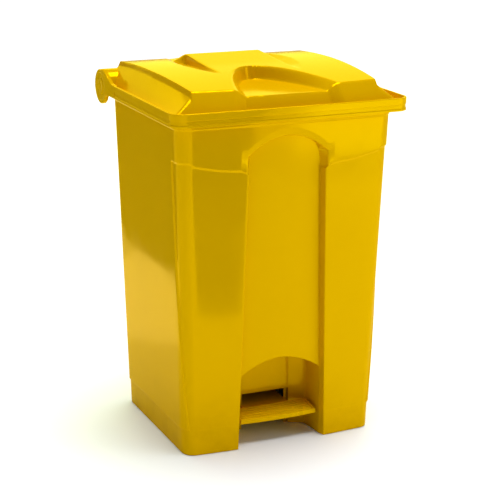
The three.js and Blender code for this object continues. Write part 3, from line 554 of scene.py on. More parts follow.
def rear_points(row, grow, inset, plain):
    z = min(row_height(row, 190.0, grow), REAR_EDGE_Z)
    rear = lerp(BASE_REAR, TOP_REAR, z / RIM_Z)
    wall = rear - inset - wall_offset(row, z, plain, 0.0)
    half = NOTCH_HALF if grow == 0 else NOTCH_INNER_HALF
    bottom = rear - NOTCH_DEPTH - (SKIN if grow else 0.0)
    points = [(x, wall, z) for x in (150, 125, 100, 75, 50, half + 4.0)]
    for angle in (0, 30, 60, 90):
        a = math.radians(angle)
        x = half + NOTCH_ROUND * (1 - math.sin(a))
        points.append((x, wall - NOTCH_ROUND * (1 - math.cos(a)), z))
    for share in (0.3, 0.6, 0.9, 1.0):
        points.append((half, lerp(wall - NOTCH_ROUND, bottom, share), z))
    return points + [(half * share, bottom, z) for share in (0.95, 0.6, 0.3, 0.0)]


def container_sheet(rows, grow, inset, plain):
    """The wall as a closed grid: middle of the front, right side, rear, left side and back."""
    columns = front_columns()
    grid = []
    for row in rows:
        half = [front_point(column, row, grow, inset, plain) for column in columns]
        half += side_points(row, grow, inset, plain)
        half += rear_points(row, grow, inset, plain)
        mirrored = [(-x, y, z) for x, y, z in half[-2:0:-1]]
        grid.append(half + mirrored)
    return np.array(grid)


def in_slot(grid, c):
    x, y, _ = grid[0, c % grid.shape[1]]
    return abs(x) < SLOT_HALF + 0.2 and y < 0


def slot_faces(grid):
    """Which quads stay: those of the lever's slot go."""
    rows, columns = grid.shape[:2]
    keep = np.ones((rows, columns), bool)
    middle = [c for c in range(columns) if in_slot(grid, c) and in_slot(grid, c + 1)]
    keep[:SLOT_ROW, middle] = False
    return keep


def build_container(material):
    body = Body()
    rows = outer_rows()
    outer = container_sheet(rows + top_rows(), 0.0, 0.0, False)
    body.sheet(outer, closed=True, keep=slot_faces(outer))
    inner_rows = [dict(rule=lambda x, g: FLOOR_HIGH, niche=1.0)] + rows[SLOT_ROW + 1 :]
    inner_rows += [dict(z=z, inset=0.0, flange=0.0) for z in (COLLAR_Z, 556.0, 563.0, TOP_Z)]
    inner = container_sheet(inner_rows, SKIN, WALL, True)
    body.sheet(inner, closed=True, flip=True)
    under = container_sheet(rows[: SLOT_ROW + 1], SKIN, WALL + PLINTH_INSET, True)
    body.sheet(under, closed=True, keep=slot_faces(under), flip=True)
    body.strip(outer[-1], inner[-1], closed=True)
    body.cap(inner[0])
    body.cap(under[-1], flip=True)
    columns = outer.shape[1]
    for c in range(columns):
        d = (c + 1) % columns
        r = SLOT_ROW if in_slot(outer, c) and in_slot(outer, d) else 0
        body.add([outer[r, c], outer[r, d], under[r, d], under[r, c]], [(3, 2, 1, 0)])
    for c in range(columns):
        if not in_slot(outer, c) or (in_slot(outer, c + 1) and in_slot(outer, c - 1)):
            continue
        for r in range(SLOT_ROW):
            body.add([outer[r, c], outer[r + 1, c], under[r + 1, c], under[r, c]], [(0, 1, 2, 3)])
    add_container_bosses(body)
    piece = body.build("container_shell", "bin", material, sharp=50.0)
    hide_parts("container")


def add_container_bosses(body):
    for x in LUG_X:
        outline = [(150.8, 550.0), (150.8, 540.0), (155.0, 540.0)]
        outline += arc(HINGE_Y, HINGE_Z, LUG_RADIUS, -60, 150, 14)
        body.add(*prism(outline, x - LUG_HALF, x + LUG_HALF, "x", 0.8))
    for x in BRACKET_X:
        seat = rectangle(x - BRACKET_HALF, x + BRACKET_HALF, *BRACKET_Y)
        body.add(*prism(seat, 60.0, FLOOR_LOW + 1, "z", 0.8))
    socket = [(FOOT_RADIUS, 3.4), (FOOT_RADIUS, 1.2), (14.6, 1.0), (10.8, 1.0), (10.4, 1.3), (10.4, 3.5)]
    for x in FOOT_X:
        for y in FOOT_Y:
            body.add(*prism(arc(x, y, FOOT_RADIUS, 0, 350, 35), 3.4, FLOOR_LOW + 1, "z"))
            body.sheet(lathe(socket, (x, y, 0), "z", 36), closed=True)


# ---- lid


def mirrored_lines(positive):
    return np.array([-v for v in positive[:0:-1]] + list(positive))


# Distances in from the outline, close together over the rounded lip.
LID_EDGE = (0.0, 0.12, 0.45, 0.9, 1.5, 2.5, 3.5, 4.1, 4.7, 5.2, 5.7, 6.2, 7.4, 9.0, 11.0, 13.0, 15.0, 16.2)
LID_INNER = 17.3
HUMP_LINES = (-1.5, -0.9, -0.4, -0.1, 0.2, 0.5, 1.0, 1.8, 2.8)


def lid_lines():
    """Grid lines across and along the lid, close together where an edge runs along them."""
    across = list(np.arange(0, 68, 2.0)) + [HUMP_HALF + d for d in HUMP_LINES]
    across += list(np.linspace(74.0, 158.0, 43)) + list(np.arange(159.0, 177.0, 0.6))
    across += list(np.linspace(177.5, LID_HALF - LID_INNER, 9)) + [LID_HALF - d for d in LID_EDGE[::-1]]
    along = list(LID_EDGE) + list(np.linspace(LID_INNER, EAR_START_Y - LID_FRONT, 131))
    along += list(np.linspace(EAR_START_Y - LID_FRONT, LID_REAR - LID_FRONT, 41)[1:])
    return mirrored_lines(across), np.array(along)


def place_lines(across, along):
    """Bows the front lines and rounds the front corners."""
    x, back = np.meshgrid(across, along)
    beyond = np.clip((np.abs(x) - LID_HALF + CORNER) / CORNER, 0, None)
    ahead = np.clip((CORNER - back) / CORNER, 0, None)
    radius, reach = np.hypot(beyond, ahead), np.maximum(beyond, ahead)
    in_corner = (beyond > 0) & (ahead > 0)
    scale = np.where(in_corner, reach / np.where(radius > 0, radius, 1), 1)
    x = np.where(in_corner, np.sign(x) * (LID_HALF - CORNER + CORNER * beyond * scale), x)
    back = np.where(in_corner, CORNER - CORNER * ahead * scale, back)
    bow = LID_BOW * np.clip(1 - (x / (LID_HALF - CORNER)) ** 2, 0, None)
    return x, LID_FRONT + back - bow * np.clip(1 - back / 60, 0, 1), back


def edge_distance(x, back):
    """Distance in from the lid's rounded outline."""
    beyond = np.abs(x) - (LID_HALF - CORNER)
    ahead = CORNER - back
    round_corner = CORNER - np.hypot(np.clip(beyond, 0, None), np.clip(ahead, 0, None))
    return np.where((beyond > 0) | (ahead > 0), np.minimum(round_corner, LID_HALF - np.abs(x)), 99.0)


def front_foot(x):
    return FRONT_FOOT_Y - FRONT_FOOT_BOW * np.clip(1 - (x / TOP_HALF) ** 2, 0, None)


def dome(x, y):
    """Height of the dome and of its cambered top."""
    side = np.abs(x)
    top = CAMBER_TOP - CAMBER_RATE * (y - CAMBER_Y) ** 2
    top_half = np.interp(y, TOP_EDGE_Y, TOP_EDGE_X)
    steep = top - (side - top_half) * SIDE_BAND_DROP / SIDE_BAND_RUN
    slope = (top - SIDE_BAND_DROP - DOME_FOOT_Z) / (DOME_FOOT_HALF - (top_half + SIDE_BAND_RUN))
    from_side = DOME_FOOT_Z + (DOME_FOOT_HALF - side) * slope
    banded = soft_max(steep, np.minimum(from_side, top - SIDE_BAND_DROP + 1.5), 1.4)
    foot = front_foot(x)
    edge = FRONT_EDGE_Y - FRONT_EDGE_BOW * np.clip(1 - (x / FRONT_EDGE_HALF) ** 2, 0, None)
    from_front = DOME_FOOT_Z + (y - foot) * (top - DOME_FOOT_Z) / (edge - foot)
    from_rear = DOME_FOOT_Z + (REAR_FOOT_Y - y) * REAR_SLOPE
    bevel = soft_min(banded, from_front, 9.0)
    return soft_min(soft_min(top, bevel, 1.8), from_rear, 4.0), top


def hump_and_hollows(x, y, shell, top):
    """Raises the hump out of the dome and hollows the dome beside it."""
    side = np.abs(x)
    reach = np.interp(y, SCOOP_Y, SCOOP_X)
    share = np.clip((side - HUMP_HALF) / np.maximum(reach - HUMP_HALF, 0.1), 0, 1)
    crease = np.interp(y, SCOOP_CREASE_Y, SCOOP_CREASE)
    fall = np.where(share < crease, 1 - 0.25 * share / crease, 0.75 * (1 - share) / (1 - crease))
    hollow = SCOOP_DEPTH * ramp(y, -62.0, 30.0) * (1 - 0.8 * ramp(y, 110.0, 160.0)) * fall
    climb = (CREST_Z - HUMP_START_Z) / (CREST_Y - HUMP_START_Y)
    rising = HUMP_START_Z + (y - HUMP_START_Y) * climb
    falling = CREST_Z - (y - CREST_Y) * CREST_FALL
    flare = HUMP_FLARE * ramp(y, 98.0, 128.0)
    inside = 1 - ramp(side, HUMP_HALF - 0.9, HUMP_HALF + 1.1 + flare)
    rounded = HUMP_EDGE_DROP * ramp(side, HUMP_HALF - 2.6, HUMP_HALF - 0.4)
    raised = soft_max(shell, soft_min(rising, falling, 3.0), 1.5) - rounded * (y > -40)
    hollowed = shell - np.where(side < reach, hollow, 0) * (shell > top - 14)
    return np.where(y < HUMP_REAR_Y, lerp(hollowed, raised, inside), shell)


def hand_recess(x, y, shell):
    """Cuts the hand recess: a flat floor, a bevel in front of it and a wall bowed round it."""
    bevel = DOME_FOOT_Z - 3.0 + (y - front_foot(x) - RECESS_SET_BACK) * RECESS_SLOPE
    low = soft_min(RECESS_Z, bevel, 1.8)
    across = (y + 8.0 + 0.0282 * x**2) / (4.0 + 0.0097 * x**2)
    wall = soft_max(soft_min(across, 1.0, 0.16), 0.0, 0.14)
    return lerp(np.minimum(low, shell), shell, np.where(y > 60, 1.0, wall))


def lid_height(x, y, back):
    shell, top = dome(x, y)
    shell = hand_recess(x, y, hump_and_hollows(x, y, shell, top))
    shell = soft_max(shell, GUTTER_Z, 2.0)
    distance = edge_distance(x, back)
    inside = LIP_ROUND - np.clip(distance, 0, LIP_ROUND)
    lip = LIP_Z - LIP_ROUND + np.sqrt(np.clip(LIP_ROUND**2 - inside**2, 0, None))
    share = ramp(distance, LIP_WIDTH - 1.1, LIP_WIDTH + 1.2)
    return np.where(distance < 12.0, lerp(lip, shell, share), shell)


def skirt_loop(grid, last_row):
    """Outer boundary of the lid's top from the left ear round the front to the right ear."""
    return np.concatenate([grid[last_row:0:-1, 0], grid[0], grid[1 : last_row + 1, -1]])


def outward(loop):
    along = np.gradient(loop[:, :2], axis=0)
    normal = np.stack([along[:, 1], -along[:, 0]], axis=1)
    return normal / np.linalg.norm(normal, axis=1, keepdims=True)


# Height and outward step of the skirt's rings, outside and then inside.
SKIRT = ((574.0, 0.0), (569.9, 0.0), (569.5, -0.2), (569.1, -0.9), (563.2, -0.9), (562.8, -0.7))
SKIRT += ((562.2, -0.05), (561.6, 0.0), (559.4, 0.0), (558.9, -0.25), (LID_LOW, -0.8))
SKIRT_INSIDE = ((LID_LOW, 0.5), (558.9, 0.1), (560.0, 0.0), (567.0, 0.0))


def skirt_rings(rim, levels):
    push = outward(rim)
    rings = []
    for level, step in levels:
        ring = rim.copy()
        ring[:, 2] = level
        ring[:, :2] += push * step
        rings.append(ring)
    return rings


def beside_hinge(grid, reach):
    return np.hypot(grid[:, :, 1] - HINGE_Y, grid[:, :, 2] - HINGE_Z) < BARREL_INNER + reach


def build_lid(material):
    body = Body()
    across, along = lid_lines()
    x, y, back = place_lines(across, along)
    z = lid_height(x, y, back)
    top = np.stack([x, y, z], axis=2)
    middle = (top[:-1, :-1] + top[1:, 1:]) / 2
    keep = np.ones(z.shape, bool)
    beside_ear = (np.abs(middle[:, :, 0]) > EAR_INNER_X) & (middle[:, :, 1] > EAR_START_Y)
    keep[:-1, :-1] = ~(beside_ear | beside_hinge(middle, 1.2))
    body.sheet(top, keep=keep)

    slope = np.hypot(
        np.gradient(z, axis=1) / np.gradient(x, axis=1),
        np.gradient(z, axis=0) / np.gradient(y, axis=0),
    )
    under = top.copy()
    under[:, :, 2] -= np.minimum(SHELL * np.sqrt(1 + slope**2), SHELL_MOST)
    under[:, :, 2] = np.maximum(under[:, :, 2], LID_UNDER_MIN)
    inner = int(np.argmin(np.abs(along - SHELL)))
    keep[:-1, :-1] &= ~beside_hinge(under[:-1, :-1], 2.0)
    inside = (slice(inner, None), slice(inner, len(across) - inner))
    body.sheet(under[inside], keep=keep[inside], flip=True)

    last = int(np.argmin(np.abs(along - (EAR_START_Y - LID_FRONT))))
    rim = skirt_loop(top, last)
    inner_rim = skirt_loop(under[inside], last - inner)
    rings = [rim] + skirt_rings(rim, SKIRT) + skirt_rings(inner_rim, SKIRT_INSIDE) + [inner_rim]
    for first, second in zip(rings, rings[1:]):
        if len(first) == len(second):
            body.strip(first, second, flip=True)
        else:
            bridge(body, first, second)
    add_barrel(body)
    for side in (-1, 1):
        add_ear(body, side)
    piece = body.build("lid_shell", "lid", material, sharp=50.0)
    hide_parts("lid")


def bridge(body, first, second):
    """Quads and triangles between two open loops with different point counts."""
    start = body.add(first, [])
    other = body.add(second, [])
    i = j = 0
    while i < len(first) - 1 or j < len(second) - 1:
        ahead_first = (i + 1) / (len(first) - 1)
        ahead_second = (j + 1) / (len(second) - 1)
        if j == len(second) - 1 or (i < len(first) - 1 and ahead_first <= ahead_second):
            body.faces.append((start + i, other + j, start + i + 1))
            i += 1
        else:
            body.faces.append((start + i, other + j, other + j + 1))
            j += 1


def add_barrel(body):
    """Hollow barrel over the hinge rod, open underneath, with ribs that hold the rod."""
    end = EAR_INNER_X + 0.4
    spans = ((-BARREL_END, BARREL_END, 100.0), (-end, 1 - BARREL_END, 178.0), (BARREL_END - 1, end, 178.0))
    for x0, x1, start in spans:
        steps = int((start + 20) / 5)
        outline = arc(HINGE_Y, HINGE_Z, BARREL, start, -19.0, steps)
        outline += arc(HINGE_Y, HINGE_Z, (BARREL + BARREL_INNER) / 2, -20.0, -20.0, 0)
        outline += arc(HINGE_Y, HINGE_Z, BARREL_INNER, -19.0, start, steps)
        body.add(*prism(outline, x0, x1, "x"))
    for x in (-110, -32, 32, 110):
        outline = arc(HINGE_Y, HINGE_Z, 7.5, 144, 324, 12)
        outline += arc(HINGE_Y, HINGE_Z, BARREL_INNER + 1.0, -17, 130, 20)
        body.add(*prism(outline, x - 3, x + 3, "x", 0.4))
    boss = [(1.9, 588.0), (1.9, 587.5), (2.2, 587.3), (4.6, 587.3), (5.0, 587.7), (5.0, 596.0)]
    for x in (-20, 20):
        body.sheet(lathe(boss, (x, HINGE_Y, 0), "z", 24), closed=True, flip=True)


def ear_outline():
    """Side view of the ear: the lip's line rises into the disc and comes back under it."""
    rise = np.linspace(EAR_START_Y, 150.0, 28)
    points = [(float(y), LIP_Z + 19.6 * float(ramp(y, 97.0, 153.0))) for y in rise]
    points += arc(HINGE_Y, HINGE_Z, BARREL, 104, -154, 60)
    points += [(129.5, 556.6), (124.0, 558.0), (118.0, 558.6)]
    points += [(y, LID_LOW) for y in (108.0, 98.0, EAR_START_Y)]
    return points + [(EAR_START_Y, z) for z in (563.0, 568.0, 574.0)]


# The ear's face: radius and distance out of the cap's seat, then inset and distance of the rounded edge.
EAR_FACE = ((14.4, EAR_FACE_X), (14.45, 204.0), (14.9, 204.3), (22.6, 204.3), (23.2, 204.5))
EAR_FACE += ((23.9, 204.9), (24.5, LID_HALF))
EAR_EDGE = ((1.5, 205.0), (1.0, 204.92), (0.5, 204.65), (0.15, 204.15), (0.0, 203.5))


def add_ear(body, side):
    outline = ear_outline()

    def ring(radius, x):
        return [ring_point(p, radius, x, side) for p in outline]

    rows = [ring(radius, x) for radius, x in EAR_FACE]
    for inset, x in EAR_EDGE:
        row = []
        for y, z in outline:
            length = math.hypot(y - HINGE_Y, z - HINGE_Z)
            if y < EAR_START_Y + 0.01:
                row.append(ring_point((y, z), length, LID_HALF, side))
            else:
                row.append(ring_point((y, z), length - inset, x, side))
        rows.append(row)
    rows += [ring(None, 199.6), ring(None, EAR_INNER_X), ring(20.0, EAR_INNER_X), ring(4.1, EAR_INNER_X)]
    rows += [ring(4.1, EAR_FACE_X), ring(14.4, EAR_FACE_X)]
    body.sheet(np.array(rows), closed=True, flip=side > 0)


def ring_point(point, radius, x, side):
    """A point of the outline drawn in to a radius round the hinge, or left where it is."""
    y, z = point
    length = math.hypot(y - HINGE_Y, z - HINGE_Z)
    radius = length if radius is None else radius
    return side * x, HINGE_Y + (y - HINGE_Y) / length * radius, HINGE_Z + (z - HINGE_Z) / length * radius


def build_hinge_cap(name, side, material):
    body = Body()
    profile = [(0.01, 204.0), (4.5, 204.05), (6.4, 204.2), (7.4, 204.75), (8.2, 204.95), (12.4, 204.95)]
    profile += [(13.3, 204.8), (13.8, 204.4), (CAP_RADIUS, 203.9), (CAP_RADIUS, 202.3), (0.01, 202.3)]
    grid = lathe([(r, side * h) for r, h in profile], (0, HINGE_Y, HINGE_Z), "x", 48)
    body.sheet(grid, closed=True, flip=side < 0)
    piece = body.build(name + "_disc", "lid", material)
    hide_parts(name)


# ---- pedal

TREAD_HALF, TREAD_FRONT, TREAD_REAR = 69.0, -136.5, -94.0
TREAD_LOW, TREAD_TOP, TREAD_FALL, TREAD_WALL = 38.0, 50.6, 5.5, 3.0
TREAD_BOW, TREAD_FRONT_BACK = 3.5, 1.5
TREAD_RIBS, RIB_HEIGHT, RIB_MARGIN = 6, 1.5, 2.5
TREAD_EDGE = (0.0, 0.12, 0.45, 0.95, 1.6)
# Height and outward step of the rings down the tread's edge and up inside it.
TREAD_RINGS = ((42.5, 0.0), (39.2, 0.0), (38.4, -0.35), (TREAD_LOW, -1.1))
TREAD_RINGS += ((TREAD_LOW, 0.5 - TREAD_WALL), (38.5, -TREAD_WALL), (41.5, -TREAD_WALL - 0.4))


def tread_height(x, back, depth):
    """Ribbed top with a low rim at each end and rounded edges all round."""
    side = TREAD_HALF - np.abs(x)
    phase = (back - RIB_MARGIN) * TREAD_RIBS / (depth - 2 * RIB_MARGIN)
    rib = RIB_HEIGHT * ramp(np.sin(2 * math.pi * (phase - 0.25)), -0.25, 0.35)
    rib = rib * ramp(side, 4.2, 5.6) * ramp(back, 1.6, 2.6) * ramp(depth - back, 1.6, 2.6)
    rim = RIB_HEIGHT * (1 - ramp(side, 2.6, 3.8)) + 0.9 * (1 - ramp(back, 1.0, 2.2))
    near = np.minimum(np.minimum(side, back), depth - back)
    radius = TREAD_EDGE[-1]
    rounding = radius - np.sqrt(np.clip(radius**2 - (radius - np.clip(near, 0, radius)) ** 2, 0, None))
    fall = TREAD_FALL * (1 - back / depth) ** 1.5
    return TREAD_TOP + np.maximum(rib, np.minimum(rim, RIB_HEIGHT)) - rounding - fall


def build_tread(material):
    body = Body()
    depth = TREAD_REAR - TREAD_FRONT
    ends = TREAD_EDGE + (2.6, 3.2, 3.8, 4.6, 5.8)
    across = list(np.linspace(0, TREAD_HALF - 7.0, 13)) + [TREAD_HALF - d for d in ends[::-1]]
    edge = np.array(TREAD_EDGE)
    along = np.concatenate([edge, np.linspace(2.2, depth - 2.2, 86), depth - edge[::-1]])
    x, back = np.meshgrid(mirrored_lines(across), along)
    bow = TREAD_BOW * (1 - (x / TREAD_HALF) ** 2) - TREAD_FRONT_BACK
    y = TREAD_FRONT + back - bow * (1 - back / depth)
    top = np.stack([x, y, tread_height(x, back, depth)], axis=2)
    body.sheet(top)
    loop = np.concatenate([top[0], top[1:-1, -1], top[-1, ::-1], top[-2:0:-1, 0]])
    from_middle = loop[:, 1] - (TREAD_FRONT + TREAD_REAR) / 2
    at_end = np.sign(loop[:, 0]) * (np.abs(loop[:, 0]) > TREAD_HALF - 1)
    at_front_or_rear = np.sign(from_middle) * (np.abs(from_middle) > depth / 2 - 5)
    rings = [loop]
    for level, step in TREAD_RINGS:
        ring = loop.copy()
        ring[:, 2] = level
        ring[:, 0] += at_end * step
        ring[:, 1] += at_front_or_rear * step
        rings.append(ring)
    for first, second in zip(rings, rings[1:]):
        body.strip(first, second, closed=True, flip=True)
    body.cap(rings[-1], flip=True)
    piece = body.build("tread_plate", "pedal", material, sharp=45.0, tidy_normals=True)
    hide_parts("pedal_tread")


# ---- fasteners

SCREW_HEAD, SCREW_SHANK, THREAD_PITCH, THREAD_DEPTH = 3.5, 1.6, 0.8, 0.25
CROSS_REACH, CROSS_HALF, CROSS_DEPTH = 1.9, 0.32, 0.9


def build_screw(node, axis, sign, material):
    """Pan-head screw with a cross recess, in place of its CAD node, with its shank along sign * axis."""
    low, high = (np.array(corner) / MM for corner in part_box(node))
    place = (low + high) / 2
    place[axis] = low[axis] if sign > 0 else high[axis]
    length = float(high[axis] - low[axis])
    profile = [(0.01, 0.15), (1.4, 0.2), (2.4, 0.45), (3.1, 0.95), (SCREW_HEAD, 1.7), (SCREW_HEAD, 2.15)]
    profile.append((SCREW_SHANK + 0.2, 2.2))
    for turn in range(int((length - 3.5) / THREAD_PITCH)):
        profile.append((SCREW_SHANK - THREAD_DEPTH, 2.5 + THREAD_PITCH * turn))
        profile.append((SCREW_SHANK, 2.9 + THREAD_PITCH * turn))
    profile += [(SCREW_SHANK - 0.4, length - 0.6), (0.01, length)]
    body = Body()
    grid = lathe([(r, sign * h) for r, h in profile], place, "xyz"[axis], 20)
    body.sheet(grid, closed=True, flip=sign < 0)
    others = [i for i in range(3) if i != axis]
    for u, v in (others, others[::-1]):
        corners = np.zeros((8, 3))
        for k in range(8):
            corners[k, u] = place[u] + (CROSS_REACH if k & 1 else -CROSS_REACH)
            corners[k, v] = place[v] + (CROSS_HALF if k & 2 else -CROSS_HALF)
            corners[k, axis] = place[axis] + sign * (CROSS_DEPTH if k & 4 else 0.12)
        sides = [(0, 1, 3, 2), (4, 6, 7, 5), (0, 4, 5, 1), (1, 5, 7, 3), (3, 7, 6, 2), (2, 6, 4, 0)]
        body.add(corners, sides)
    bodies = frame["record"]["behaviour"]["bodies"]
    owner = next(name for name, members in bodies.items() if node in members)
    piece = body.build(node + "_cross", owner, material, sharp=35.0, tidy_normals=True)
    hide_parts(node)


# ---- materials


def link(tree, source, output, target, socket):
    tree.links.new(source.outputs[output], target.inputs[socket])


def new_material(name):
    material = bpy.data.materials.new(name)
    material.use_nodes = True
    tree = material.node_tree
    return material, tree, tree.nodes["Principled BSDF"]


def noise(tree, coordinates, scale, detail, roughness=0.5, stretch=None):
    node = tree.nodes.new("ShaderNodeTexNoise")
    node.inputs["Scale"].default_value = scale
    node.inputs["Detail"].default_value = detail
    node.inputs["Roughness"].default_value = roughness
    if stretch:
        mapping = tree.nodes.new("ShaderNodeMapping")
        mapping.inputs["Scale"].default_value = stretch
        link(tree, coordinates, "Object", mapping, "Vector")
        link(tree, mapping, "Vector", node, "Vector")
    else:
        link(tree, coordinates, "Object", node, "Vector")
    return node


def map_range(tree, source, output, low, high, to_low, to_high):
    node = tree.nodes.new("ShaderNodeMapRange")
    for socket, value in zip(("From Min", "From Max", "To Min", "To Max"), (low, high, to_low, to_high)):
        node.inputs[socket].default_value = value
    link(tree, source, output, node, "Value")
    return node


def mix_colour(tree, factor, factor_output, first, second):
    node = tree.nodes.new("ShaderNodeMix")
    node.data_type = "RGBA"
    tree.links.new(factor.outputs[factor_output], node.inputs[0])
    for socket, value in ((6, first), (7, second)):
        if isinstance(value, tuple):
            node.inputs[socket].default_value = (*value, 1.0)
        else:
            tree.links.new(value.outputs[2], node.inputs[socket])
    return node


def add_bump(tree, height, output, strength, distance, shader, previous=None):
    node = tree.nodes.new("ShaderNodeBump")
    node.inputs["Strength"].default_value = strength
    node.inputs["Distance"].default_value = distance
    link(tree, height, output, node, "Height")
    if previous:
        link(tree, previous, "Normal", node, "Normal")
    if shader:
        link(tree, node, "Normal", shader, "Normal")
    return node


# Height in metres up to which the shell's colour turns darker in patches towards the bottom.
LOW_DARKENING_TOP = 0.12
# The metallic share tints the reflections with the plastic's own colour.
PLASTIC = {
    "IOR": 1.45,
    "Metallic": 0.2,
    "Specular IOR Level": 0.008,
    "Specular Tint": (1.0, 0.86, 0.0, 1.0),
    "Subsurface Weight": 0.06,
    "Subsurface Radius": (1.0, 0.6, 0.1),
    "Subsurface Scale": 0.004,
}


def plastic(name, roughness, darkening_top=None):
    """Glossy moulded plastic: flow mottling, fine orange peel, hairline scuffs and colour darker in
    patches towards the bottom.
    """
    material, tree, shader = new_material(name)
    place = tree.nodes.new("ShaderNodeTexCoord")
    flow = noise(tree, place, 5.0, 3.0, 0.55, (1.0, 1.0, 0.45))
    flow_share = map_range(tree, flow, "Fac", 0.35, 0.65, 0.0, 1.0)
    colour = mix_colour(tree, flow_share, "Result", YELLOW_DEEP, YELLOW)
    speck = noise(tree, place, 950.0, 2.0)
    speck_share = map_range(tree, speck, "Fac", 0.68, 0.74, 0.0, 0.25)
    colour = mix_colour(tree, speck_share, "Result", colour, YELLOW_DEEP)
    scratch = noise(tree, place, 900.0, 2.0, 0.5, (1.0, 1.0, 0.03))
    scratch_share = map_range(tree, scratch, "Fac", 0.70, 0.76, 0.0, 0.22)
    colour = mix_colour(tree, scratch_share, "Result", colour, YELLOW_PALE)
    # Colour darker in noise patches towards the bottom, fading out at the given height above the floor.
    if darkening_top:
        height = tree.nodes.new("ShaderNodeSeparateXYZ")
        link(tree, place, "Object", height, "Vector")
        low_down = map_range(tree, height, "Z", darkening_top, 0.0, 0.0, 1.0)
        low_patches = noise(tree, place, 24.0, 5.0, 0.65)
        low_patch_share = map_range(tree, low_patches, "Fac", 0.45, 0.75, 0.0, 0.5)
        product = tree.nodes.new("ShaderNodeMath")
        product.operation = "MULTIPLY"
        link(tree, low_down, "Result", product, 0)
        link(tree, low_patch_share, "Result", product, 1)
        colour = mix_colour(tree, product, "Value", colour, tuple(c * 0.72 for c in YELLOW_DEEP))
    tree.links.new(colour.outputs[2], shader.inputs["Base Color"])
    smear = noise(tree, place, 14.0, 5.0, 0.6)
    gloss = map_range(tree, smear, "Fac", 0.3, 0.7, roughness - 0.04, roughness + 0.07)
    link(tree, gloss, "Result", shader, "Roughness")
    peel = noise(tree, place, 420.0, 2.0)
    wave = noise(tree, place, 16.0, 1.0)
    first = add_bump(tree, peel, "Fac", 0.06, 0.0002, None)
    second = add_bump(tree, wave, "Fac", 0.10, 0.0012, None, first)
    add_bump(tree, scratch_share, "Result", 0.05, 0.0001, shader, second)
    for socket, value in PLASTIC.items():
        shader.inputs[socket].default_value = value
    return material


def patched(name, base, worn, scale, low, high):
    """A material whose colour goes from base to worn in soft patches."""
    material, tree, shader = new_material(name)
    place = tree.nodes.new("ShaderNodeTexCoord")
    patch = noise(tree, place, scale, 5.0, 0.6)
    share = map_range(tree, patch, "Fac", low, high, 0.0, 1.0)
    colour = mix_colour(tree, share, "Result", base, worn)
    tree.links.new(colour.outputs[2], shader.inputs["Base Color"])
    return material, tree, shader, place, patch


def steel(name, base, worn, roughness, stretch):
    """Drawn or pressed zinc-plated steel: fine brushing along one way and dull patches."""
    material, tree, shader, place, _ = patched(name, base, worn, 30.0, 0.4, 0.68)
    shader.inputs["Metallic"].default_value = 1.0
    brush = noise(tree, place, 260.0, 4.0, 0.7, stretch)
    gloss = map_range(tree, brush, "Fac", 0.3, 0.7, roughness - 0.07, roughness + 0.12)
    link(tree, gloss, "Result", shader, "Roughness")
    add_bump(tree, brush, "Fac", 0.18, 0.00012, shader)
    return material


def matte(name, base, worn, roughness, grain, depth):
    """Nylon or rubber: a matte grain with rubbed patches."""
    material, tree, shader, place, patch = patched(name, base, worn, 45.0, 0.42, 0.7)
    gloss = map_range(tree, patch, "Fac", 0.3, 0.7, roughness - 0.08, roughness + 0.06)
    link(tree, gloss, "Result", shader, "Roughness")
    add_bump(tree, noise(tree, place, grain, 3.0, 0.6), "Fac", 0.3, depth, shader)
    return material


# ---- assembly

YELLOW, YELLOW_DEEP, YELLOW_PALE = (0.71, 0.405, 0.0), (0.69, 0.39, 0.0), (0.75, 0.45, 0.01)

shell_plastic = plastic("shell_plastic", 0.07, LOW_DARKENING_TOP)
lid_plastic = plastic("lid_plastic", 0.1)
tread_plastic = plastic("tread_plastic", 0.24)
cover_plastic = plastic("cover_plastic", 0.26)
coated_steel = plastic("coated_steel", 0.3)
plated_steel = steel("plated_steel", (0.62, 0.62, 0.60), (0.46, 0.45, 0.42), 0.32, (1.0, 12.0, 1.0))
drawn_steel = steel("drawn_steel", (0.66, 0.66, 0.65), (0.5, 0.5, 0.48), 0.25, (0.5, 0.5, 10.0))
screw_steel = steel("screw_steel", (0.60, 0.60, 0.58), (0.42, 0.41, 0.38), 0.36, (3.0, 3.0, 3.0))
guide_nylon = matte("guide_nylon", (0.02, 0.02, 0.022), (0.05, 0.05, 0.05), 0.5, 600.0, 0.0002)
pad_rubber = matte("pad_rubber", (0.022, 0.022, 0.022), (0.06, 0.058, 0.055), 0.85, 300.0, 0.0004)

build_container(shell_plastic)
build_lid(lid_plastic)
for cap_name, cap_side in (("hinge_cap_left", -1), ("hinge_cap_right", 1)):
    build_hinge_cap(cap_name, cap_side, lid_plastic)
build_tread(tread_plastic)

# Screw families: how many, and the axis and sense in which the shank points.
SCREWS = {"crank": (2, 2, 1), "guide": (4, 1, -1), "cover": (4, 1, -1)}
SCREWS.update({"bracket": (4, 2, 1), "tread": (2, 2, 1)})
for family, (count, axis, sign) in SCREWS.items():
    for number in range(1, count + 1):
        build_screw(f"{family}_screw_{number}", axis, sign, screw_steel)

FINISH = {
    "container": shell_plastic,
    "lid": lid_plastic,
    "pedal_tread": tread_plastic,
    "rod_cover": cover_plastic,
    "pedal_lever": coated_steel,
    "hinge_rod": drawn_steel,
    "lift_rod": drawn_steel,
    "pedal_axle": drawn_steel,
}
FINISH_BY_START = {"rod_guide": guide_nylon, "axle_bush": guide_nylon, "foot_pad": pad_rubber}
CAD_BEVEL = 0.0004
for node_name, node_object in frame["nodes"].items():
    by_start = [finish for start, finish in FINISH_BY_START.items() if node_name.startswith(start)]
    finish = FINISH.get(node_name, (by_start + [plated_steel])[0])
    node_object.data.materials.clear()
    node_object.data.materials.append(finish)
    if not node_object.hide_render:
        bevel = node_object.modifiers.new("edge", "BEVEL")
        bevel.width = CAD_BEVEL
        bevel.segments = 2
        bevel.limit_method = "ANGLE"
        bevel.angle_limit = math.radians(40)
        bevel.harden_normals = True

# ---- studio

WHITE, LEMON = (1.0, 1.0, 1.0), (0.8, 1.0, 0.12)


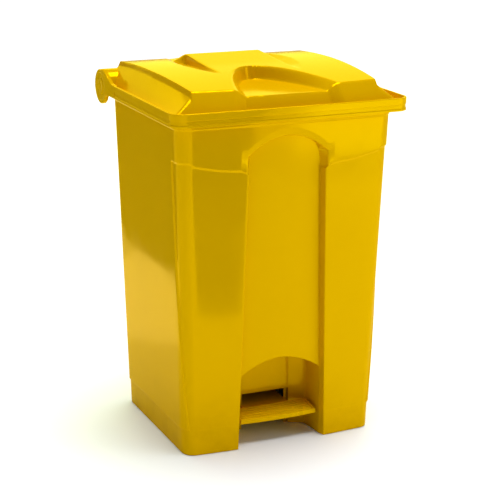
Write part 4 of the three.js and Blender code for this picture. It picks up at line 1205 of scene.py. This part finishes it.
def flat_card(name, corners, colour, roughness):
    material, _, shader = new_material(name)
    shader.inputs["Base Color"].default_value = (*colour, 1.0)
    shader.inputs["Roughness"].default_value = roughness
    mesh = bpy.data.meshes.new(name)
    mesh.from_pydata(corners, [], [(0, 1, 2, 3)])
    mesh.materials.append(material)
    piece = bpy.data.objects.new(name, mesh)
    bpy.context.scene.collection.objects.link(piece)
    return piece


def light(name, kind, power, place, target, colour=WHITE, **settings):
    data = bpy.data.lights.new(name, kind)
    data.energy, data.color = power, colour
    for key, value in settings.items():
        setattr(data, key, value)
    lamp = bpy.data.objects.new(name, data)
    lamp.location = place
    lamp.rotation_mode = "QUATERNION"
    lamp.rotation_quaternion = (Vector(target) - Vector(place)).to_track_quat("-Z", "Y")
    bpy.context.scene.collection.objects.link(lamp)


FLOOR_HALF, FLOOR_COLOUR, FLAG_COLOUR = 30.0, (0.87, 0.90, 0.95), (0.02, 0.02, 0.02)
floor_corners = [(x * FLOOR_HALF, y * FLOOR_HALF, 0.0) for x, y in rectangle(-1, 1, -1, 1)]
floor = flat_card("studio_floor", floor_corners, FLOOR_COLOUR, 0.6)
# Dark flags that only show as reflections: one for the left wall, one for the front's left column.
left_flag = [(-0.5, y, z) for y, z in rectangle(0.3, 1.4, 0.001, 0.46)]
front_flag = [(0.02, -0.74, 0.001), (0.14, -0.74, 0.001), (0.32, -1.0, 0.5), (0.05, -1.0, 0.5)]
for flag_name, corners in (("left_flag", left_flag), ("front_flag", front_flag)):
    card = flat_card(flag_name, corners, FLAG_COLOUR, 1.0)
    card.visible_camera = card.visible_shadow = card.visible_diffuse = False

box = dict(shape="RECTANGLE", size=0.8, size_y=1.7)
light("right_box", "AREA", 9.0, (1.9, -1.5, 0.8), (0.1, -0.1, 0.35), **box)
box = dict(shape="RECTANGLE", size=5.2, size_y=2.0)
light("rear_card", "AREA", 66.0, (0.6, 3.3, 1.7), (0.0, 0.0, 0.6), LEMON, **box)
box = dict(shape="RECTANGLE", size=0.7, size_y=0.6)
light("right_strip", "AREA", 2.4, (1.05, -1.5, 0.35), (0.05, -0.16, 0.35), LEMON, **box)
cone = dict(spot_size=math.radians(34), spot_blend=0.12, shadow_soft_size=0.03)
light("floor_pool", "SPOT", 70.0, (-0.62, 0.62, 1.3), (-0.62, 0.62, 0.0), **cone)
light("key", "SUN", 3.7, (0.0, 0.0, 0.0), (-0.10, -0.01, -1.0), angle=math.radians(45))

world = bpy.data.worlds.new("studio")
bpy.context.scene.world = world
world.use_nodes = True
background = world.node_tree.nodes["Background"]
background.inputs["Color"].default_value = (*WHITE, 1.0)
background.inputs["Strength"].default_value = 0.22

scene = bpy.context.scene
scene.view_settings.view_transform = "Standard"

CAMERA_AZIMUTH, CAMERA_ELEVATION, CAMERA_ROLL = -24.0, 16.12, 0.4
CAMERA_DISTANCE, CAMERA_LENS = 2.5959, 109.1
CAMERA_TARGET = Vector((0.0036, -0.0043, 0.2986))
azimuth, elevation, roll = (math.radians(a) for a in (CAMERA_AZIMUTH, CAMERA_ELEVATION, CAMERA_ROLL))
across = math.cos(elevation)
back_axis = Vector((math.sin(azimuth) * across, -math.cos(azimuth) * across, math.sin(elevation)))
level = (-back_axis).cross(Vector((0, 0, 1))).normalized()
upright = level.cross(-back_axis)
right_axis = level * math.cos(roll) + upright * math.sin(roll)
up_axis = upright * math.cos(roll) - level * math.sin(roll)
camera_data = bpy.data.cameras.new("camera")
camera_data.lens = CAMERA_LENS
camera_data.sensor_width = 36.0
camera_data.clip_start, camera_data.clip_end = 0.05, 30.0
camera = bpy.data.objects.new("camera", camera_data)
camera.rotation_mode = "QUATERNION"
camera.rotation_quaternion = Matrix((right_axis, up_axis, back_axis)).transposed().to_quaternion()
camera.location = CAMERA_TARGET + back_axis * CAMERA_DISTANCE
scene.collection.objects.link(camera)
scene.camera = camera
